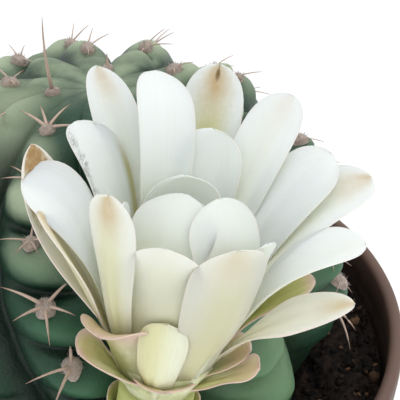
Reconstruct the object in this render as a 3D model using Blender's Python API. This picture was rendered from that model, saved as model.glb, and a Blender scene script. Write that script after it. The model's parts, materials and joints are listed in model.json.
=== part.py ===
"""A chin cactus in flower, growing in a round pot.

Metres, +Z up. The origin is the middle of the pot's flat underside. The plant is a ribbed globe whose ribs
are broken into chins, each with a woolly areole and its spines. One white flower stands in front of it, on
a scaly tube that leaves an areole low on the front rib, and opens nearly straight up.
"""

import math
import random

import bpy
from mathutils import Vector

MM = 0.001
TOUCH_GAP = 0.3 * MM

# Pot
POT_HEIGHT = 100 * MM
POT_RIM_RADIUS = 61.3 * MM
POT_FOOT_RADIUS = 45 * MM
POT_WALL = 2.8 * MM
POT_FLOOR = 4 * MM
COLLAR_HEIGHT = 19 * MM
COLLAR_STEP = 3.4 * MM
RIM_ROUNDING = 1.3 * MM
DRAIN_HOLES = 4
DRAIN_HOLE_RADIUS = 4 * MM
DRAIN_CIRCLE_RADIUS = 26 * MM
POT_SIDES = 32

# Potting mix
MIX_LEVEL = 90 * MM
MIX_RELIEF = 1.3 * MM
MIX_MOAT = 1.6 * MM
MIX_SIDES = 32
MIX_RINGS = 5

# Plant body
BODY_CENTRE = Vector((0, 0, 115 * MM))
BODY_RADIUS = 47 * MM
BODY_RISE = 40 * MM
BODY_DROP = 50 * MM
CROWN_DIMPLE = 2.2 * MM
RIBS = 10
RIB_DEPTH = 0.16
RIB_PHASE = 275
RIB_TWIST = 0.45
RIB_FADE_START = -10
RIB_FADE_END = -29
CHIN_BULGE = 2.2 * MM
CHIN_NOTCH = 3.0 * MM
BODY_COLUMNS_PER_RIB = 6
BODY_FOOT_LATITUDES = (-48, -38, -30)
BODY_CROWN_LATITUDES = (76, 84)
ROWS_PER_CHIN = 4
CHIN_ROWS = 28

# Areoles and spines
AREOLE_FIRST_LATITUDE = 70
AREOLE_STEP = 13.5
AREOLE_ROWS = 7
AREOLE_LOWEST_LATITUDE = -15
AREOLE_LENGTH = 4.4 * MM
AREOLE_WIDTH = 3.4 * MM
AREOLE_HEIGHT = 1.3 * MM
SPINE_LENGTH = 9.5 * MM
SPINE_RADIUS = 0.48 * MM
SPINE_SPLAY = 70
SPINE_DIRECTIONS = (90, 205, 325)
SPINE_SINK = 1.0 * MM
SPINE_CLEARANCE = 2.2 * MM
CROWN_LATITUDE = 80
CROWN_AREOLES = (195, 315, 75)
CROWN_SPINE_LENGTH = 13.5 * MM
CROWN_SPINE_SPLAY = 12

# Flower: its frame stands at the bottom of the cup of petals
FLOWER_RIB = 0
FLOWER_ROW = 6
FLOWER_ORIGIN = BODY_CENTRE + Vector((12.4, -51.2, 13.0)) * MM
FLOWER_AXIS = Vector((0.158, 0.081, 0.984)).normalized()
TUBE_FOOT_RADIUS = 4.2 * MM
TUBE_TOP_RADIUS = 6.0 * MM
TUBE_SOCKET_DEPTH = 1.7 * MM
TUBE_SIDES = 12
TUBE_RINGS = 8
CUP_FOOT_RADIUS = 5.2 * MM
CUP_FLARE = 0.46
CUP_HEIGHT = 7 * MM
CUP_WALL = 1.2 * MM
CUP_FLOOR = 1.6 * MM
CUP_SIDES = 16
BLADE_THICKNESS = 0.7 * MM
PETAL_ROWS = (0.0, 0.4, 0.74, 0.92, 1.0)
SCALE_ROWS = (0.0, 0.4, 0.75, 1.0)
BLADE_COLUMNS = 4
WIDEST_AT = 0.74

# Each petal: azimuth from the right, reach from the axis, rise above the cup's foot, width, lean at the tip
# (0 is upright, 90 lies out, below 0 bends in), how far it is cupped, roll and the height of its root.
PETALS = {
    "inner_back": (94, 9.2, 33, 13, -20, 1.1, 10, 5),
    "inner_left": (249, 2.8, 36.5, 12.4, -67, 0.8, -5, 5),
    "inner_right": (310.5, 5.3, 37.3, 11.5, -52, 0.8, -2, 5),
    "inner_left_side": (181, 9.5, 31.5, 11, 10, 0.95, 5, 5),
    "inner_right_side": (331, 13, 32.5, 8.7, 15, 1.0, -20, 5),
    "middle_back": (80, 16.5, 38, 11.5, 20, 1.0, 15, 4.5),
    "middle_back_left": (108.5, 22, 44.2, 10.3, 72, 0.85, 12, 4),
    "middle_left": (138, 24.5, 35.8, 10.3, 72, 0.85, 8, 4.5),
    "middle_back_right": (57.5, 27.8, 42.3, 9.2, 60, 1.45, 7, 4),
    "middle_right": (35.5, 26.8, 36.9, 9.6, 60, 1.5, 16, 4),
    "middle_low_right": (355.5, 26.2, 32, 13, 72, 0.8, -8, 3.5),
    "middle_low_left": (176.5, 24.3, 33.2, 12.4, 78, 1.3, -14, 3.5),
    "front_right": (302, 12.9, 33.7, 13.5, -6, 0.95, -7, 3),
    "front_left": (251, 16, 34.1, 9.2, 54, 0.8, 15, 3),
    "outer_back": (83.5, 25, 45.3, 9.3, -15, 1.5, 2, 2),
    "outer_back_left": (121.5, 31.2, 41, 8.3, 64, 1.55, 0, 2),
    "outer_right": (19, 30, 37.5, 11, 76, 0.8, 16, 2),
    "outer_left": (169.5, 24.2, 37.1, 11, 12, 0.9, -24, 2),
    "outer_low_left": (195, 21.8, 32.2, 7.6, 34, 0.8, 0, 2),
    "outer_front_left": (223, 16, 39.5, 8.2, 8, 0.8, 12, 2),
    "outer_low_right": (340.5, 26.8, 25.7, 7, 68, 1.15, 32, 2.5),
    "outer_right_scale": (5, 21, 22.4, 5.8, 64, 0.9, 10, 2),
}

# Each broad scale under the petals, in the same terms; they grow from the cup.
CUP_SCALES = {
    "scale_left": (219, 14, 17.8, 10.2, 74, 0.8, 28, 2),
    "scale_front": (264.5, 9, 18.7, 7.4, 0, 0.8, 3, 1.5),
    "scale_right": (352, 13.2, 10.4, 8.7, 58, 0.8, 0, 1.5),
    "scale_low_left": (208, 14, 12, 9, 60, 0.9, 0, 1.5),
    "scale_low_right": (335, 15.6, 11, 6, 45, 0.85, 10, 1.2),
    "scale_low_front": (272.5, 10.6, 7.2, 9, 66, 0.9, 4, 1.5),
}

# Each small scale of the tube, with its root height below the cup.
TUBE_SCALES = {
    "tube_left": (160, 8.3, -3.5, 6.0, 20, 0.9, 0, -10),
    "tube_right": (20, 8.3, -3.0, 6.0, 20, 0.9, 0, -9.5),
    "tube_front": (285, 8.0, -6.5, 6.0, 15, 0.9, 0, -13),
}
PETAL_BASE_LEAN = 24
CUP_SCALE_BASE_LEAN = 42
TUBE_SCALE_BASE_LEAN = 48

# Stamens and pistil
STAMENS = 14
STAMEN_RING_RADIUS = 3.7 * MM
STAMEN_RING_HEIGHT = 2.2 * MM
FILAMENT_RADIUS = 0.34 * MM
ANTHER_RADIUS = 0.6 * MM
ANTHER_LENGTH = 1.9 * MM
STYLE_RADIUS = 0.95 * MM
STYLE_HEIGHT = 19 * MM
STIGMA_LOBES = 6
STIGMA_LOBE_LENGTH = 3.2 * MM


def clear_scene():
    for thing in list(bpy.data.objects):
        bpy.data.objects.remove(thing, do_unlink=True)


def make_material(name, colour, roughness):
    material = bpy.data.materials.new(name)
    material.use_nodes = True
    shader = material.node_tree.nodes["Principled BSDF"]
    shader.inputs["Base Color"].default_value = (*colour, 1)
    shader.inputs["Roughness"].default_value = roughness
    return material


def make_object(name, points, faces, material=None, collection=None):
    mesh = bpy.data.meshes.new(name)
    mesh.from_pydata([tuple(p) for p in points], [], faces)
    mesh.validate()
    if material:
        mesh.materials.append(material)
    made = bpy.data.objects.new(name, mesh)
    (collection or bpy.context.scene.collection).objects.link(made)
    return made


def combine(target, pieces, operation="UNION"):
    """Joins the collection's closed pieces to target, or cuts them from it, and removes them."""
    modifier = target.modifiers.new("combine", "BOOLEAN")
    modifier.operand_type = "COLLECTION"
    modifier.collection = pieces
    modifier.operation = operation
    modifier.solver = "MANIFOLD"
    bpy.context.view_layer.update()
    graph = bpy.context.evaluated_depsgraph_get()
    joined = bpy.data.meshes.new_from_object(target.evaluated_get(graph))
    target.modifiers.clear()
    target.data = joined
    for piece in list(pieces.objects):
        bpy.data.objects.remove(piece, do_unlink=True)
    bpy.data.collections.remove(pieces)


def new_collection(name):
    collection = bpy.data.collections.new(name)
    bpy.context.scene.collection.children.link(collection)
    return collection


def ring_faces(rings, sides):
    """Triangles between consecutive rings of points, each ring running anticlockwise about the travel."""
    faces = []
    for ring in range(rings - 1):
        for side in range(sides):
            after = (side + 1) % sides
            low, low_after = ring * sides + side, ring * sides + after
            high, high_after = low + sides, low_after + sides
            faces += [(low, low_after, high_after), (low, high_after, high)]
    return faces


def capped(rings, sides):
    """Side triangles of a stack of rings with a fan at each end; the two end centres come last."""
    faces = ring_faces(rings, sides)
    first, last = rings * sides, rings * sides + 1
    top = (rings - 1) * sides
    for side in range(sides):
        after = (side + 1) % sides
        faces.append((first, after, side))
        faces.append((last, top + side, top + after))
    return faces


def side_frame(along):
    """Two unit vectors square to along."""
    helper = Vector((1, 0, 0)) if abs(along.x) < 0.8 else Vector((0, 1, 0))
    first = (helper - along * helper.dot(along)).normalized()
    return first, along.cross(first)


def sweep(centres, radii, sides):
    """Points and faces of a closed round rod along the centres."""
    points = []
    for index, centre in enumerate(centres):
        before = centres[max(index - 1, 0)]
        after = centres[min(index + 1, len(centres) - 1)]
        first, second = side_frame((after - before).normalized())
        for side in range(sides):
            turn = math.tau * side / sides
            points.append(centre + radii[index] * (math.cos(turn) * first + math.sin(turn) * second))
    points += [centres[0], centres[-1]]
    return points, capped(len(centres), sides)


def turned(profile, sides):
    """A closed ring turned from a profile of (radius, height), up the outside and down the inside."""
    points = []
    for radius, height in profile:
        for side in range(sides):
            turn = math.tau * side / sides
            points.append(Vector((radius * math.cos(turn), radius * math.sin(turn), height)))
    return points, ring_faces(len(profile), sides)


def smooth_shade(made, angle=38):
    made.data.shade_smooth()
    made.data.set_sharp_from_angle(angle=math.radians(angle))


def pot_wall_radius(height):
    """Outside radius of the tapered wall below the collar."""
    collar_foot = POT_HEIGHT - COLLAR_HEIGHT
    collar_radius = POT_RIM_RADIUS - COLLAR_STEP - 1.2 * MM
    return POT_FOOT_RADIUS + (collar_radius - POT_FOOT_RADIUS) * height / collar_foot


def pot_inside_radius(height):
    """Inside radius of the pot at a height, with the wall stepping out into the collar."""
    collar_foot = POT_HEIGHT - COLLAR_HEIGHT
    if height < collar_foot:
        return pot_wall_radius(height) - POT_WALL
    share = (height - collar_foot) / COLLAR_HEIGHT
    low = pot_wall_radius(collar_foot) - POT_WALL + 0.4 * MM
    return low + (POT_RIM_RADIUS - POT_WALL - low) * min(1, share * 3)


def build_pot():
    collar_foot = POT_HEIGHT - COLLAR_HEIGHT
    outside = [
        (POT_FOOT_RADIUS - 1.5 * MM, 0),
        (POT_FOOT_RADIUS, 1.5 * MM),
        (pot_wall_radius(collar_foot), collar_foot),
        (POT_RIM_RADIUS - 1.2 * MM, collar_foot + 0.8 * MM),
        (POT_RIM_RADIUS, POT_HEIGHT - RIM_ROUNDING),
        (POT_RIM_RADIUS - RIM_ROUNDING, POT_HEIGHT),
    ]
    inside = [
        (POT_RIM_RADIUS - POT_WALL + RIM_ROUNDING / 2, POT_HEIGHT),
        (POT_RIM_RADIUS - POT_WALL, POT_HEIGHT - RIM_ROUNDING),
        (pot_inside_radius(collar_foot + COLLAR_HEIGHT / 3), collar_foot + COLLAR_HEIGHT / 3),
        (pot_inside_radius(collar_foot), collar_foot),
        (pot_inside_radius(POT_FLOOR), POT_FLOOR),
    ]
    profile = outside + inside
    points, faces = turned(profile, POT_SIDES)
    under, floor = len(points), len(points) + 1
    points += [Vector((0, 0, 0)), Vector((0, 0, POT_FLOOR))]
    top = (len(profile) - 1) * POT_SIDES
    for side in range(POT_SIDES):
        after = (side + 1) % POT_SIDES
        faces.append((under, after, side))
        faces.append((floor, top + side, top + after))
    pot = make_object("pot", points, faces, make_material("pot_clay", (0.23, 0.115, 0.09), 0.6))
    drills = new_collection("drills")
    for hole in range(DRAIN_HOLES):
        turn = math.tau * (hole + 0.5) / DRAIN_HOLES
        centre = Vector((math.cos(turn), math.sin(turn), 0)) * DRAIN_CIRCLE_RADIUS
        ends = [centre - Vector((0, 0, POT_FLOOR)), centre + Vector((0, 0, 2 * POT_FLOOR))]
        points, faces = sweep(ends, [DRAIN_HOLE_RADIUS] * 2, 12)
        make_object(f"drill_{hole}", points, faces, collection=drills)
    combine(pot, drills, "DIFFERENCE")
    smooth_shade(pot)


def smooth_step(value):
    value = max(0.0, min(1.0, value))
    return value * value * (3 - 2 * value)


def rib_crest_azimuth(rib, latitude):
    return RIB_PHASE + 360 / RIBS * rib - RIB_TWIST * latitude


def areole_latitude(rib, row):
    """Rows step down every rib, and every second rib is half a step lower."""
    return AREOLE_FIRST_LATITUDE - AREOLE_STEP * (row + 0.5 * (rib % 2))


def chin_relief(rib, latitude):
    """Height of the crest: a bulge below each areole, and a notch just above the next one."""
    below = (AREOLE_FIRST_LATITUDE - latitude) / AREOLE_STEP - 0.5 * (rib % 2)
    place = below - math.floor(below)
    bulge = math.exp(-(((place - 0.34) / 0.26) ** 2))
    notch = math.exp(-(((place - 0.79) / 0.12) ** 2))
    return CHIN_BULGE * bulge - CHIN_NOTCH * notch


def body_point(azimuth, latitude):
    """A point of the plant's skin, from its azimuth and its latitude in degrees."""
    turn = RIBS * (azimuth - RIB_PHASE + RIB_TWIST * latitude) / 360
    rib = round(turn)
    across = math.pi * (turn - rib)
    crest = math.cos(across)
    fade = smooth_step((latitude - RIB_FADE_END) / (RIB_FADE_START - RIB_FADE_END))
    crown = smooth_step((84 - latitude) / 34)
    out = 1 - RIB_DEPTH * (1 - crest) * (0.25 + 0.75 * fade)
    swell = chin_relief(rib % 2, latitude) * crest**2 * fade * crown
    tilt = math.radians(latitude)
    radius = BODY_RADIUS * math.cos(tilt) * out + swell * math.cos(tilt)
    rise = BODY_RISE if latitude > 0 else BODY_DROP
    dip = CROWN_DIMPLE * smooth_step((latitude - 66) / 24)
    sag = RIB_DEPTH * (1 - crest) * 0.55 * crown if latitude > 0 else 0
    height = rise * math.sin(tilt) * (1 - sag) + swell * math.sin(tilt) - dip
    return BODY_CENTRE + Vector(
        (radius * math.cos(math.radians(azimuth)), radius * math.sin(math.radians(azimuth)), height)
    )


def body_frame(azimuth, latitude):
    """The skin's point, outward normal, direction down the rib and direction across it."""
    here = body_point(azimuth, latitude)
    shift = RIB_TWIST * 2
    down = body_point(azimuth + shift, latitude - 2) - body_point(azimuth - shift, latitude + 2)
    across = body_point(azimuth + 1, latitude) - body_point(azimuth - 1, latitude)
    normal = across.normalized().cross(-down.normalized()).normalized()
    down = (down - normal * down.dot(normal)).normalized()
    return here, normal, down, normal.cross(down).normalized()


def body_latitudes():
    """Latitudes of the skin's rows: several to each chin, so that every bulge and notch has its own row."""
    chins = [AREOLE_FIRST_LATITUDE - AREOLE_STEP * row / ROWS_PER_CHIN for row in range(CHIN_ROWS, -1, -1)]
    return [*BODY_FOOT_LATITUDES, *chins, *BODY_CROWN_LATITUDES]


def body_shell():
    columns = RIBS * BODY_COLUMNS_PER_RIB
    rings = []
    for latitude in body_latitudes():
        for column in range(columns):
            azimuth = rib_crest_azimuth(0, latitude) + 360 * column / columns
            rings.append(body_point(azimuth, latitude))
    foot = sum(rings[:columns], Vector()) / columns
    crown = sum(rings[-columns:], Vector()) / columns
    return rings + [foot, crown], capped(len(body_latitudes()), columns)


def tube_path(share):
    """Centre of the flower's tube, from its socket in the plant, share 0, to the cup, share 1."""
    azimuth = rib_crest_azimuth(FLOWER_RIB, areole_latitude(FLOWER_RIB, FLOWER_ROW))
    skin, normal, _, _ = body_frame(azimuth, areole_latitude(FLOWER_RIB, FLOWER_ROW))
    start = skin - normal * TUBE_SOCKET_DEPTH
    first = start + normal * 9 * MM
    second = FLOWER_ORIGIN - FLOWER_AXIS * 15 * MM
    end = FLOWER_ORIGIN
    rest = 1 - share
    return rest**3 * start + 3 * rest**2 * share * first + 3 * rest * share**2 * second + share**3 * end


def near_flower(point, clearance):
    """True where the point lies within clearance of the tube or the flower."""
    for step in range(13):
        if (point - tube_path(step / 12)).length < TUBE_TOP_RADIUS + clearance:
            return True
    height = (point - FLOWER_ORIGIN).dot(FLOWER_AXIS)
    away = (point - FLOWER_ORIGIN - FLOWER_AXIS * height).length
    return -6 * MM < height < 45 * MM and away < CUP_FOOT_RADIUS + 0.62 * max(height, 6 * MM) + clearance


def areole_pad(azimuth, latitude, name, collection):
    """A low oval cushion of wool, sunk in the skin."""
    here, normal, down, across = body_frame(azimuth, latitude)
    sides = 5
    levels = ((1.0, -0.8), (0.8, 0.75))
    points = []
    for width, height in levels:
        for side in range(sides):
            turn = math.tau * side / sides
            points.append(
                here
                + across * (AREOLE_WIDTH / 2 * width * math.cos(turn))
                - down * (AREOLE_LENGTH / 2 * width * math.sin(turn))
                + normal * (AREOLE_HEIGHT * height)
            )
    points += [here - normal * AREOLE_HEIGHT * 0.8, here + normal * AREOLE_HEIGHT]
    make_object(name, points, capped(len(levels), sides), collection=collection)
    return here + normal * AREOLE_HEIGHT * 0.5, normal, down, across


def spine(root, direction, length, name, collection):
    """A straight three-sided needle whose root is sunk in its areole."""
    first, second = side_frame(direction)
    foot = root - direction * SPINE_SINK
    points = []
    for side in range(3):
        turn = math.tau * side / 3
        points.append(foot + SPINE_RADIUS * (math.cos(turn) * first + math.sin(turn) * second))
    points.append(root + direction * length)
    make_object(name, points, [(0, 2, 1), (0, 1, 3), (1, 2, 3), (2, 0, 3)], collection=collection)


def build_body():
    points, faces = body_shell()
    skin = make_material("cactus_skin", (0.06, 0.16, 0.09), 0.5)
    body = make_object("cactus_body", points, faces, skin)
    growth = new_collection("growth")
    chance = random.Random(11)
    for rib in range(RIBS):
        for row in range(AREOLE_ROWS):
            latitude = areole_latitude(rib, row)
            azimuth = rib_crest_azimuth(rib, latitude)
            hidden = near_flower(body_point(azimuth, latitude), -0.5 * MM)
            if hidden or latitude < AREOLE_LOWEST_LATITUDE:
                continue
            name = f"areole_{rib}_{row}"
            root, normal, down, across = areole_pad(azimuth, latitude, name, growth)
            for number, heading in enumerate(SPINE_DIRECTIONS):
                turn = math.radians(heading + chance.uniform(-14, 14))
                splay = math.radians(SPINE_SPLAY + chance.uniform(-12, 8))
                flat = across * math.cos(turn) - down * math.sin(turn)
                direction = normal * math.cos(splay) + flat * math.sin(splay)
                length = SPINE_LENGTH * chance.uniform(0.8, 1.15) * (0.75 if row == 0 else 1)
                tip = root + direction * length
                low = tip.z < MIX_LEVEL + 2 * MM
                if low or near_flower(tip, SPINE_CLEARANCE) or near_flower((tip + root) / 2, SPINE_CLEARANCE):
                    continue
                spine(root, direction, length, f"spine_{rib}_{row}_{number}", growth)
    for number, azimuth in enumerate(CROWN_AREOLES):
        root, normal, down, _ = areole_pad(azimuth, CROWN_LATITUDE, f"crown_areole_{number}", growth)
        splay = math.radians(CROWN_SPINE_SPLAY)
        direction = (Vector((0, 0, 1)) * math.cos(splay) + down * math.sin(splay)).normalized()
        length = CROWN_SPINE_LENGTH * (1 if number == 0 else 0.7)
        spine(root, direction, length, f"crown_spine_{number}", growth)
    combine(body, growth)
    socket = new_collection("socket")
    points, faces = tube_surface(TOUCH_GAP)
    make_object("socket_cutter", points, faces, collection=socket)
    combine(body, socket, "DIFFERENCE")
    smooth_shade(body, 50)


def plug_radius(latitude):
    """Largest radius of the plant's foot at a latitude below the mix."""
    return BODY_RADIUS * math.cos(math.radians(latitude)) + 0.2 * MM


def plug_height(latitude):
    return BODY_CENTRE.z + BODY_DROP * math.sin(math.radians(latitude))


def mix_height(radius, turn):
    """The loose surface: low mounds, lower in a ring round the plant."""
    lumps = (
        math.sin(7 * turn + radius * 310)
        + math.sin(11 * turn - radius * 420 + 1.7)
        + math.sin(17 * turn + radius * 610 + 0.6)
    )
    moat = MIX_MOAT * smooth_step(1 - (radius - plug_radius(BODY_FOOT_LATITUDES[-1])) / (8 * MM))
    return MIX_LEVEL + MIX_RELIEF * lumps / 3 - moat


def build_mix():
    low, middle, high = BODY_FOOT_LATITUDES
    foot = plug_height(low) - TOUCH_GAP
    floor = POT_FLOOR + TOUCH_GAP
    collar_foot = POT_HEIGHT - COLLAR_HEIGHT
    points, rings = [], 0

    def ring(radius, height, wavy=False):
        nonlocal rings
        rings += 1
        for side in range(MIX_SIDES):
            turn = math.tau * side / MIX_SIDES
            level = mix_height(radius, turn) if wavy else height
            points.append(Vector((radius * math.cos(turn), radius * math.sin(turn), level)))

    ring(pot_inside_radius(floor) - TOUCH_GAP, floor)
    ring(pot_inside_radius(collar_foot - TOUCH_GAP) - TOUCH_GAP, collar_foot - TOUCH_GAP)
    edge = pot_inside_radius(MIX_LEVEL - 3 * MM) - 2 * TOUCH_GAP
    ring(edge, MIX_LEVEL - 3 * MM)
    hole = plug_radius(high) + 2 * TOUCH_GAP
    for step in range(MIX_RINGS):
        ring(edge - 0.2 * MM + (hole - edge + 0.2 * MM) * step / (MIX_RINGS - 1), 0, wavy=True)
    ring(plug_radius(middle) + TOUCH_GAP, plug_height(middle))
    ring(plug_radius(low) + TOUCH_GAP, foot)
    points += [Vector((0, 0, floor)), Vector((0, 0, foot))]
    colour = make_material("potting_mix", (0.025, 0.02, 0.017), 0.95)
    mix = make_object("potting_mix", points, capped(rings, MIX_SIDES), colour)
    smooth_shade(mix, 30)


def flower_point(radius, azimuth, height):
    """A point in the flower's own frame: radius and azimuth about its axis, height above the cup's foot."""
    right = (Vector((1, 0, 0)) - FLOWER_AXIS * FLOWER_AXIS.x).normalized()
    back = FLOWER_AXIS.cross(right)
    turn = math.radians(azimuth)
    return FLOWER_ORIGIN + radius * (math.cos(turn) * right + math.sin(turn) * back) + FLOWER_AXIS * height


def root_radius(height):
    """Radius at which a petal leaves the cup, or a scale the tube, sunk by about the blade's thickness."""
    if height < 0:
        return TUBE_TOP_RADIUS - 1.2 * BLADE_THICKNESS
    return CUP_FOOT_RADIUS - 1.3 * BLADE_THICKNESS + CUP_FLARE * height


def blade_width(share):
    """Half-width of a blade along its length, as a share of its greatest: narrow foot, full round end."""
    if share < WIDEST_AT:
        return 0.4 + 0.6 * smooth_step(share / WIDEST_AT)
    past = (share - WIDEST_AT) / (1 - WIDEST_AT)
    return math.sqrt(1 - 0.9 * past * past)


def blade(name, shape, shares, base_lean, collection):
    """One petal or scale: a thin curved plate with its root sunk in what it grows from."""
    azimuth, reach, rise, width, tip_lean, cupping, roll, root = shape
    reach, rise, width, root = reach * MM, rise * MM, width * MM, root * MM
    start = (root_radius(root), root)
    span = math.hypot(reach - start[0], rise - start[1])
    base_turn = math.radians(base_lean)
    tip_turn = math.radians(tip_lean)
    first = (start[0] + span * 0.36 * math.sin(base_turn), start[1] + span * 0.36 * math.cos(base_turn))
    second = (reach - span * 0.34 * math.sin(tip_turn), rise - span * 0.34 * math.cos(tip_turn))

    def midrib(share):
        rest = 1 - share
        weights = (rest**3, 3 * rest**2 * share, 3 * rest * share**2, share**3)
        places = (start, first, second, (reach, rise))
        radius = sum(w * p[0] for w, p in zip(weights, places))
        height = sum(w * p[1] for w, p in zip(weights, places))
        return flower_point(radius, azimuth, height), max(radius, 3 * MM)

    side_vector = flower_point(1, azimuth + 90, 0) - FLOWER_ORIGIN
    inner, outer = [], []
    for share in shares:
        centre, radius = midrib(share)
        along = (midrib(share + 0.02)[0] - midrib(share - 0.02)[0]).normalized()
        lift = along.cross(side_vector).normalized()
        turn = math.radians(roll) * share
        across = side_vector * math.cos(turn) + lift * math.sin(turn)
        lift = along.cross(across).normalized()
        bend = max(radius * cupping, width * 0.55)
        for column in range(BLADE_COLUMNS):
            offset = (2 * column / (BLADE_COLUMNS - 1) - 1) * width / 2 * blade_width(share)
            angle = offset / bend
            middle = centre + across * bend * math.sin(angle) + lift * bend * (1 - math.cos(angle))
            normal = lift * math.cos(angle) - across * math.sin(angle)
            inner.append(middle + normal * BLADE_THICKNESS / 2)
            outer.append(middle - normal * BLADE_THICKNESS / 2)
    rows, columns = len(shares), BLADE_COLUMNS
    count = rows * columns
    faces = []
    for row in range(rows - 1):
        for column in range(columns - 1):
            a = row * columns + column
            b, c, d = a + 1, a + columns + 1, a + columns
            faces += [(a, b, c), (a, c, d)]
            faces += [(count + a, count + c, count + b), (count + a, count + d, count + c)]
    border = [column for column in range(columns)]
    border += [row * columns + columns - 1 for row in range(1, rows)]
    border += [(rows - 1) * columns + column for column in range(columns - 2, -1, -1)]
    border += [row * columns for row in range(rows - 2, 0, -1)]
    for index, here in enumerate(border):
        after = border[(index + 1) % len(border)]
        faces += [(here, count + here, count + after), (here, count + after, after)]
    made = make_object(name, inner + outer, faces, collection=collection)
    if signed_volume(made.data) < 0:
        made.data.flip_normals()


def signed_volume(mesh):
    total = 0
    for face in mesh.polygons:
        corners = [mesh.vertices[index].co for index in face.vertices]
        for index in range(1, len(corners) - 1):
            total += corners[0].dot(corners[index].cross(corners[index + 1]))
    return total


def tube_surface(clearance):
    """The flower's tube, grown by a clearance where it stands for the hollow that holds it."""
    centres = [tube_path(ring / (TUBE_RINGS - 1)) for ring in range(TUBE_RINGS)]
    centres[0] -= (centres[1] - centres[0]).normalized() * clearance
    radii = []
    for ring in range(TUBE_RINGS):
        thicken = smooth_step(1.2 * ring / (TUBE_RINGS - 1))
        radii.append(TUBE_FOOT_RADIUS + (TUBE_TOP_RADIUS - TUBE_FOOT_RADIUS) * thicken + clearance)
    return sweep(centres, radii, TUBE_SIDES)


def build_tube():
    points, faces = tube_surface(0)
    tube = make_object("flower_tube", points, faces, make_material("tube_green", (0.4, 0.45, 0.16), 0.5))
    scales = new_collection("scales")
    for name, shape in TUBE_SCALES.items():
        blade(name, shape, SCALE_ROWS, TUBE_SCALE_BASE_LEAN, scales)
    combine(tube, scales)
    smooth_shade(tube)


def build_perianth():
    """The cup that carries the petals, with its throat, and all the petals grown from it."""
    profile = [
        (CUP_FOOT_RADIUS, TOUCH_GAP),
        (CUP_FOOT_RADIUS + CUP_FLARE * CUP_HEIGHT, CUP_HEIGHT),
        (CUP_FOOT_RADIUS + CUP_FLARE * CUP_HEIGHT - CUP_WALL, CUP_HEIGHT),
        (CUP_FOOT_RADIUS - CUP_WALL * 0.6, CUP_FLOOR + TOUCH_GAP),
    ]
    points = []
    for radius, height in profile:
        points += [flower_point(radius, 360 * side / CUP_SIDES, height) for side in range(CUP_SIDES)]
    faces = capped(len(profile), CUP_SIDES)
    points += [flower_point(0, 0, TOUCH_GAP), flower_point(0, 0, CUP_FLOOR + TOUCH_GAP)]
    perianth = make_object("perianth", points, faces, make_material("petal_white", (0.85, 0.86, 0.78), 0.5))
    petals = new_collection("petals")
    for name, shape in PETALS.items():
        blade(name, shape, PETAL_ROWS, PETAL_BASE_LEAN, petals)
    for name, shape in CUP_SCALES.items():
        blade(name, shape, SCALE_ROWS, CUP_SCALE_BASE_LEAN, petals)
    combine(perianth, petals)
    smooth_shade(perianth)


def build_stamens():
    """A ring of filaments on a low collar in the throat, each with its anther."""
    floor = CUP_FLOOR + 2 * TOUCH_GAP
    ring_out, ring_in = STAMEN_RING_RADIUS, STAMEN_RING_RADIUS - 1.3 * MM
    profile = [
        (ring_out, floor),
        (ring_out, floor + STAMEN_RING_HEIGHT),
        (ring_in, floor + STAMEN_RING_HEIGHT),
        (ring_in, floor),
    ]
    points = []
    sides = STAMENS
    for radius, height in profile + [profile[0]]:
        points += [flower_point(radius, 360 * side / sides, height) for side in range(sides)]
    faces = []
    for first, second, third in ring_faces(5, sides):
        wrap = len(profile) * sides
        faces.append(tuple(index % wrap for index in (first, second, third)))
    points = points[: len(profile) * sides]
    stamens = make_object("stamens", points, faces, make_material("anther_yellow", (0.75, 0.55, 0.12), 0.7))
    parts = new_collection("filaments")
    chance = random.Random(5)
    middle = STAMEN_RING_RADIUS - 0.65 * MM
    for number in range(STAMENS):
        azimuth = 360 * (number + 0.5) / STAMENS + chance.uniform(-3, 3)
        top = chance.uniform(11.5, 16.5) * MM
        spread = (3.7 + 1.3 * (number % 2) + chance.uniform(0, 0.5)) * MM
        foot = floor + STAMEN_RING_HEIGHT - 0.7 * MM
        tip = flower_point(spread, azimuth, top)
        centres = [
            flower_point(middle, azimuth, foot),
            tip - FLOWER_AXIS * ANTHER_LENGTH * 0.6,
            tip,
            tip + FLOWER_AXIS * ANTHER_LENGTH * 0.4,
        ]
        radii = [FILAMENT_RADIUS, FILAMENT_RADIUS, ANTHER_RADIUS, FILAMENT_RADIUS]
        points, faces = sweep(centres, radii, 4)
        make_object(f"stamen_{number}", points, faces, collection=parts)
    combine(stamens, parts)
    smooth_shade(stamens)


def build_pistil():
    floor = CUP_FLOOR + 2 * TOUCH_GAP
    centres = [flower_point(0, 0, floor), flower_point(0, 0, STYLE_HEIGHT)]
    points, faces = sweep(centres, [STYLE_RADIUS, STYLE_RADIUS], 10)
    pistil = make_object("pistil", points, faces, make_material("style_cream", (0.8, 0.75, 0.45), 0.6))
    lobes = new_collection("lobes")
    for number in range(STIGMA_LOBES):
        azimuth = 360 * number / STIGMA_LOBES
        ends = [
            flower_point(0.3 * MM, azimuth, STYLE_HEIGHT - 0.6 * MM),
            flower_point(1.3 * MM, azimuth, STYLE_HEIGHT + STIGMA_LOBE_LENGTH * 0.55),
            flower_point(1.9 * MM, azimuth, STYLE_HEIGHT + STIGMA_LOBE_LENGTH),
        ]
        points, faces = sweep(ends, [0.55 * MM, 0.5 * MM, 0.25 * MM], 4)
        make_object(f"lobe_{number}", points, faces, collection=lobes)
    combine(pistil, lobes)
    smooth_shade(pistil)


def main():
    clear_scene()
    build_pot()
    build_mix()
    build_body()
    build_tube()
    build_perianth()
    build_stamens()
    build_pistil()


main()
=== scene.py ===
"""Dresses the chin cactus: finer plant, flower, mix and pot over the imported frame, with floor, lights and camera.

The plant's skin, the pot and the mix follow the same formulas as the solids that they replace. The petals and
scales are drawn by the same kind of curve, but many of them, and the spines, have sizes of their own.
"""

import json
import logging
import math
import random
from dataclasses import dataclass, field
from enum import Enum
from typing import Iterable, Sequence

import bpy
import numpy as np
from mathutils import Matrix, Vector

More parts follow.
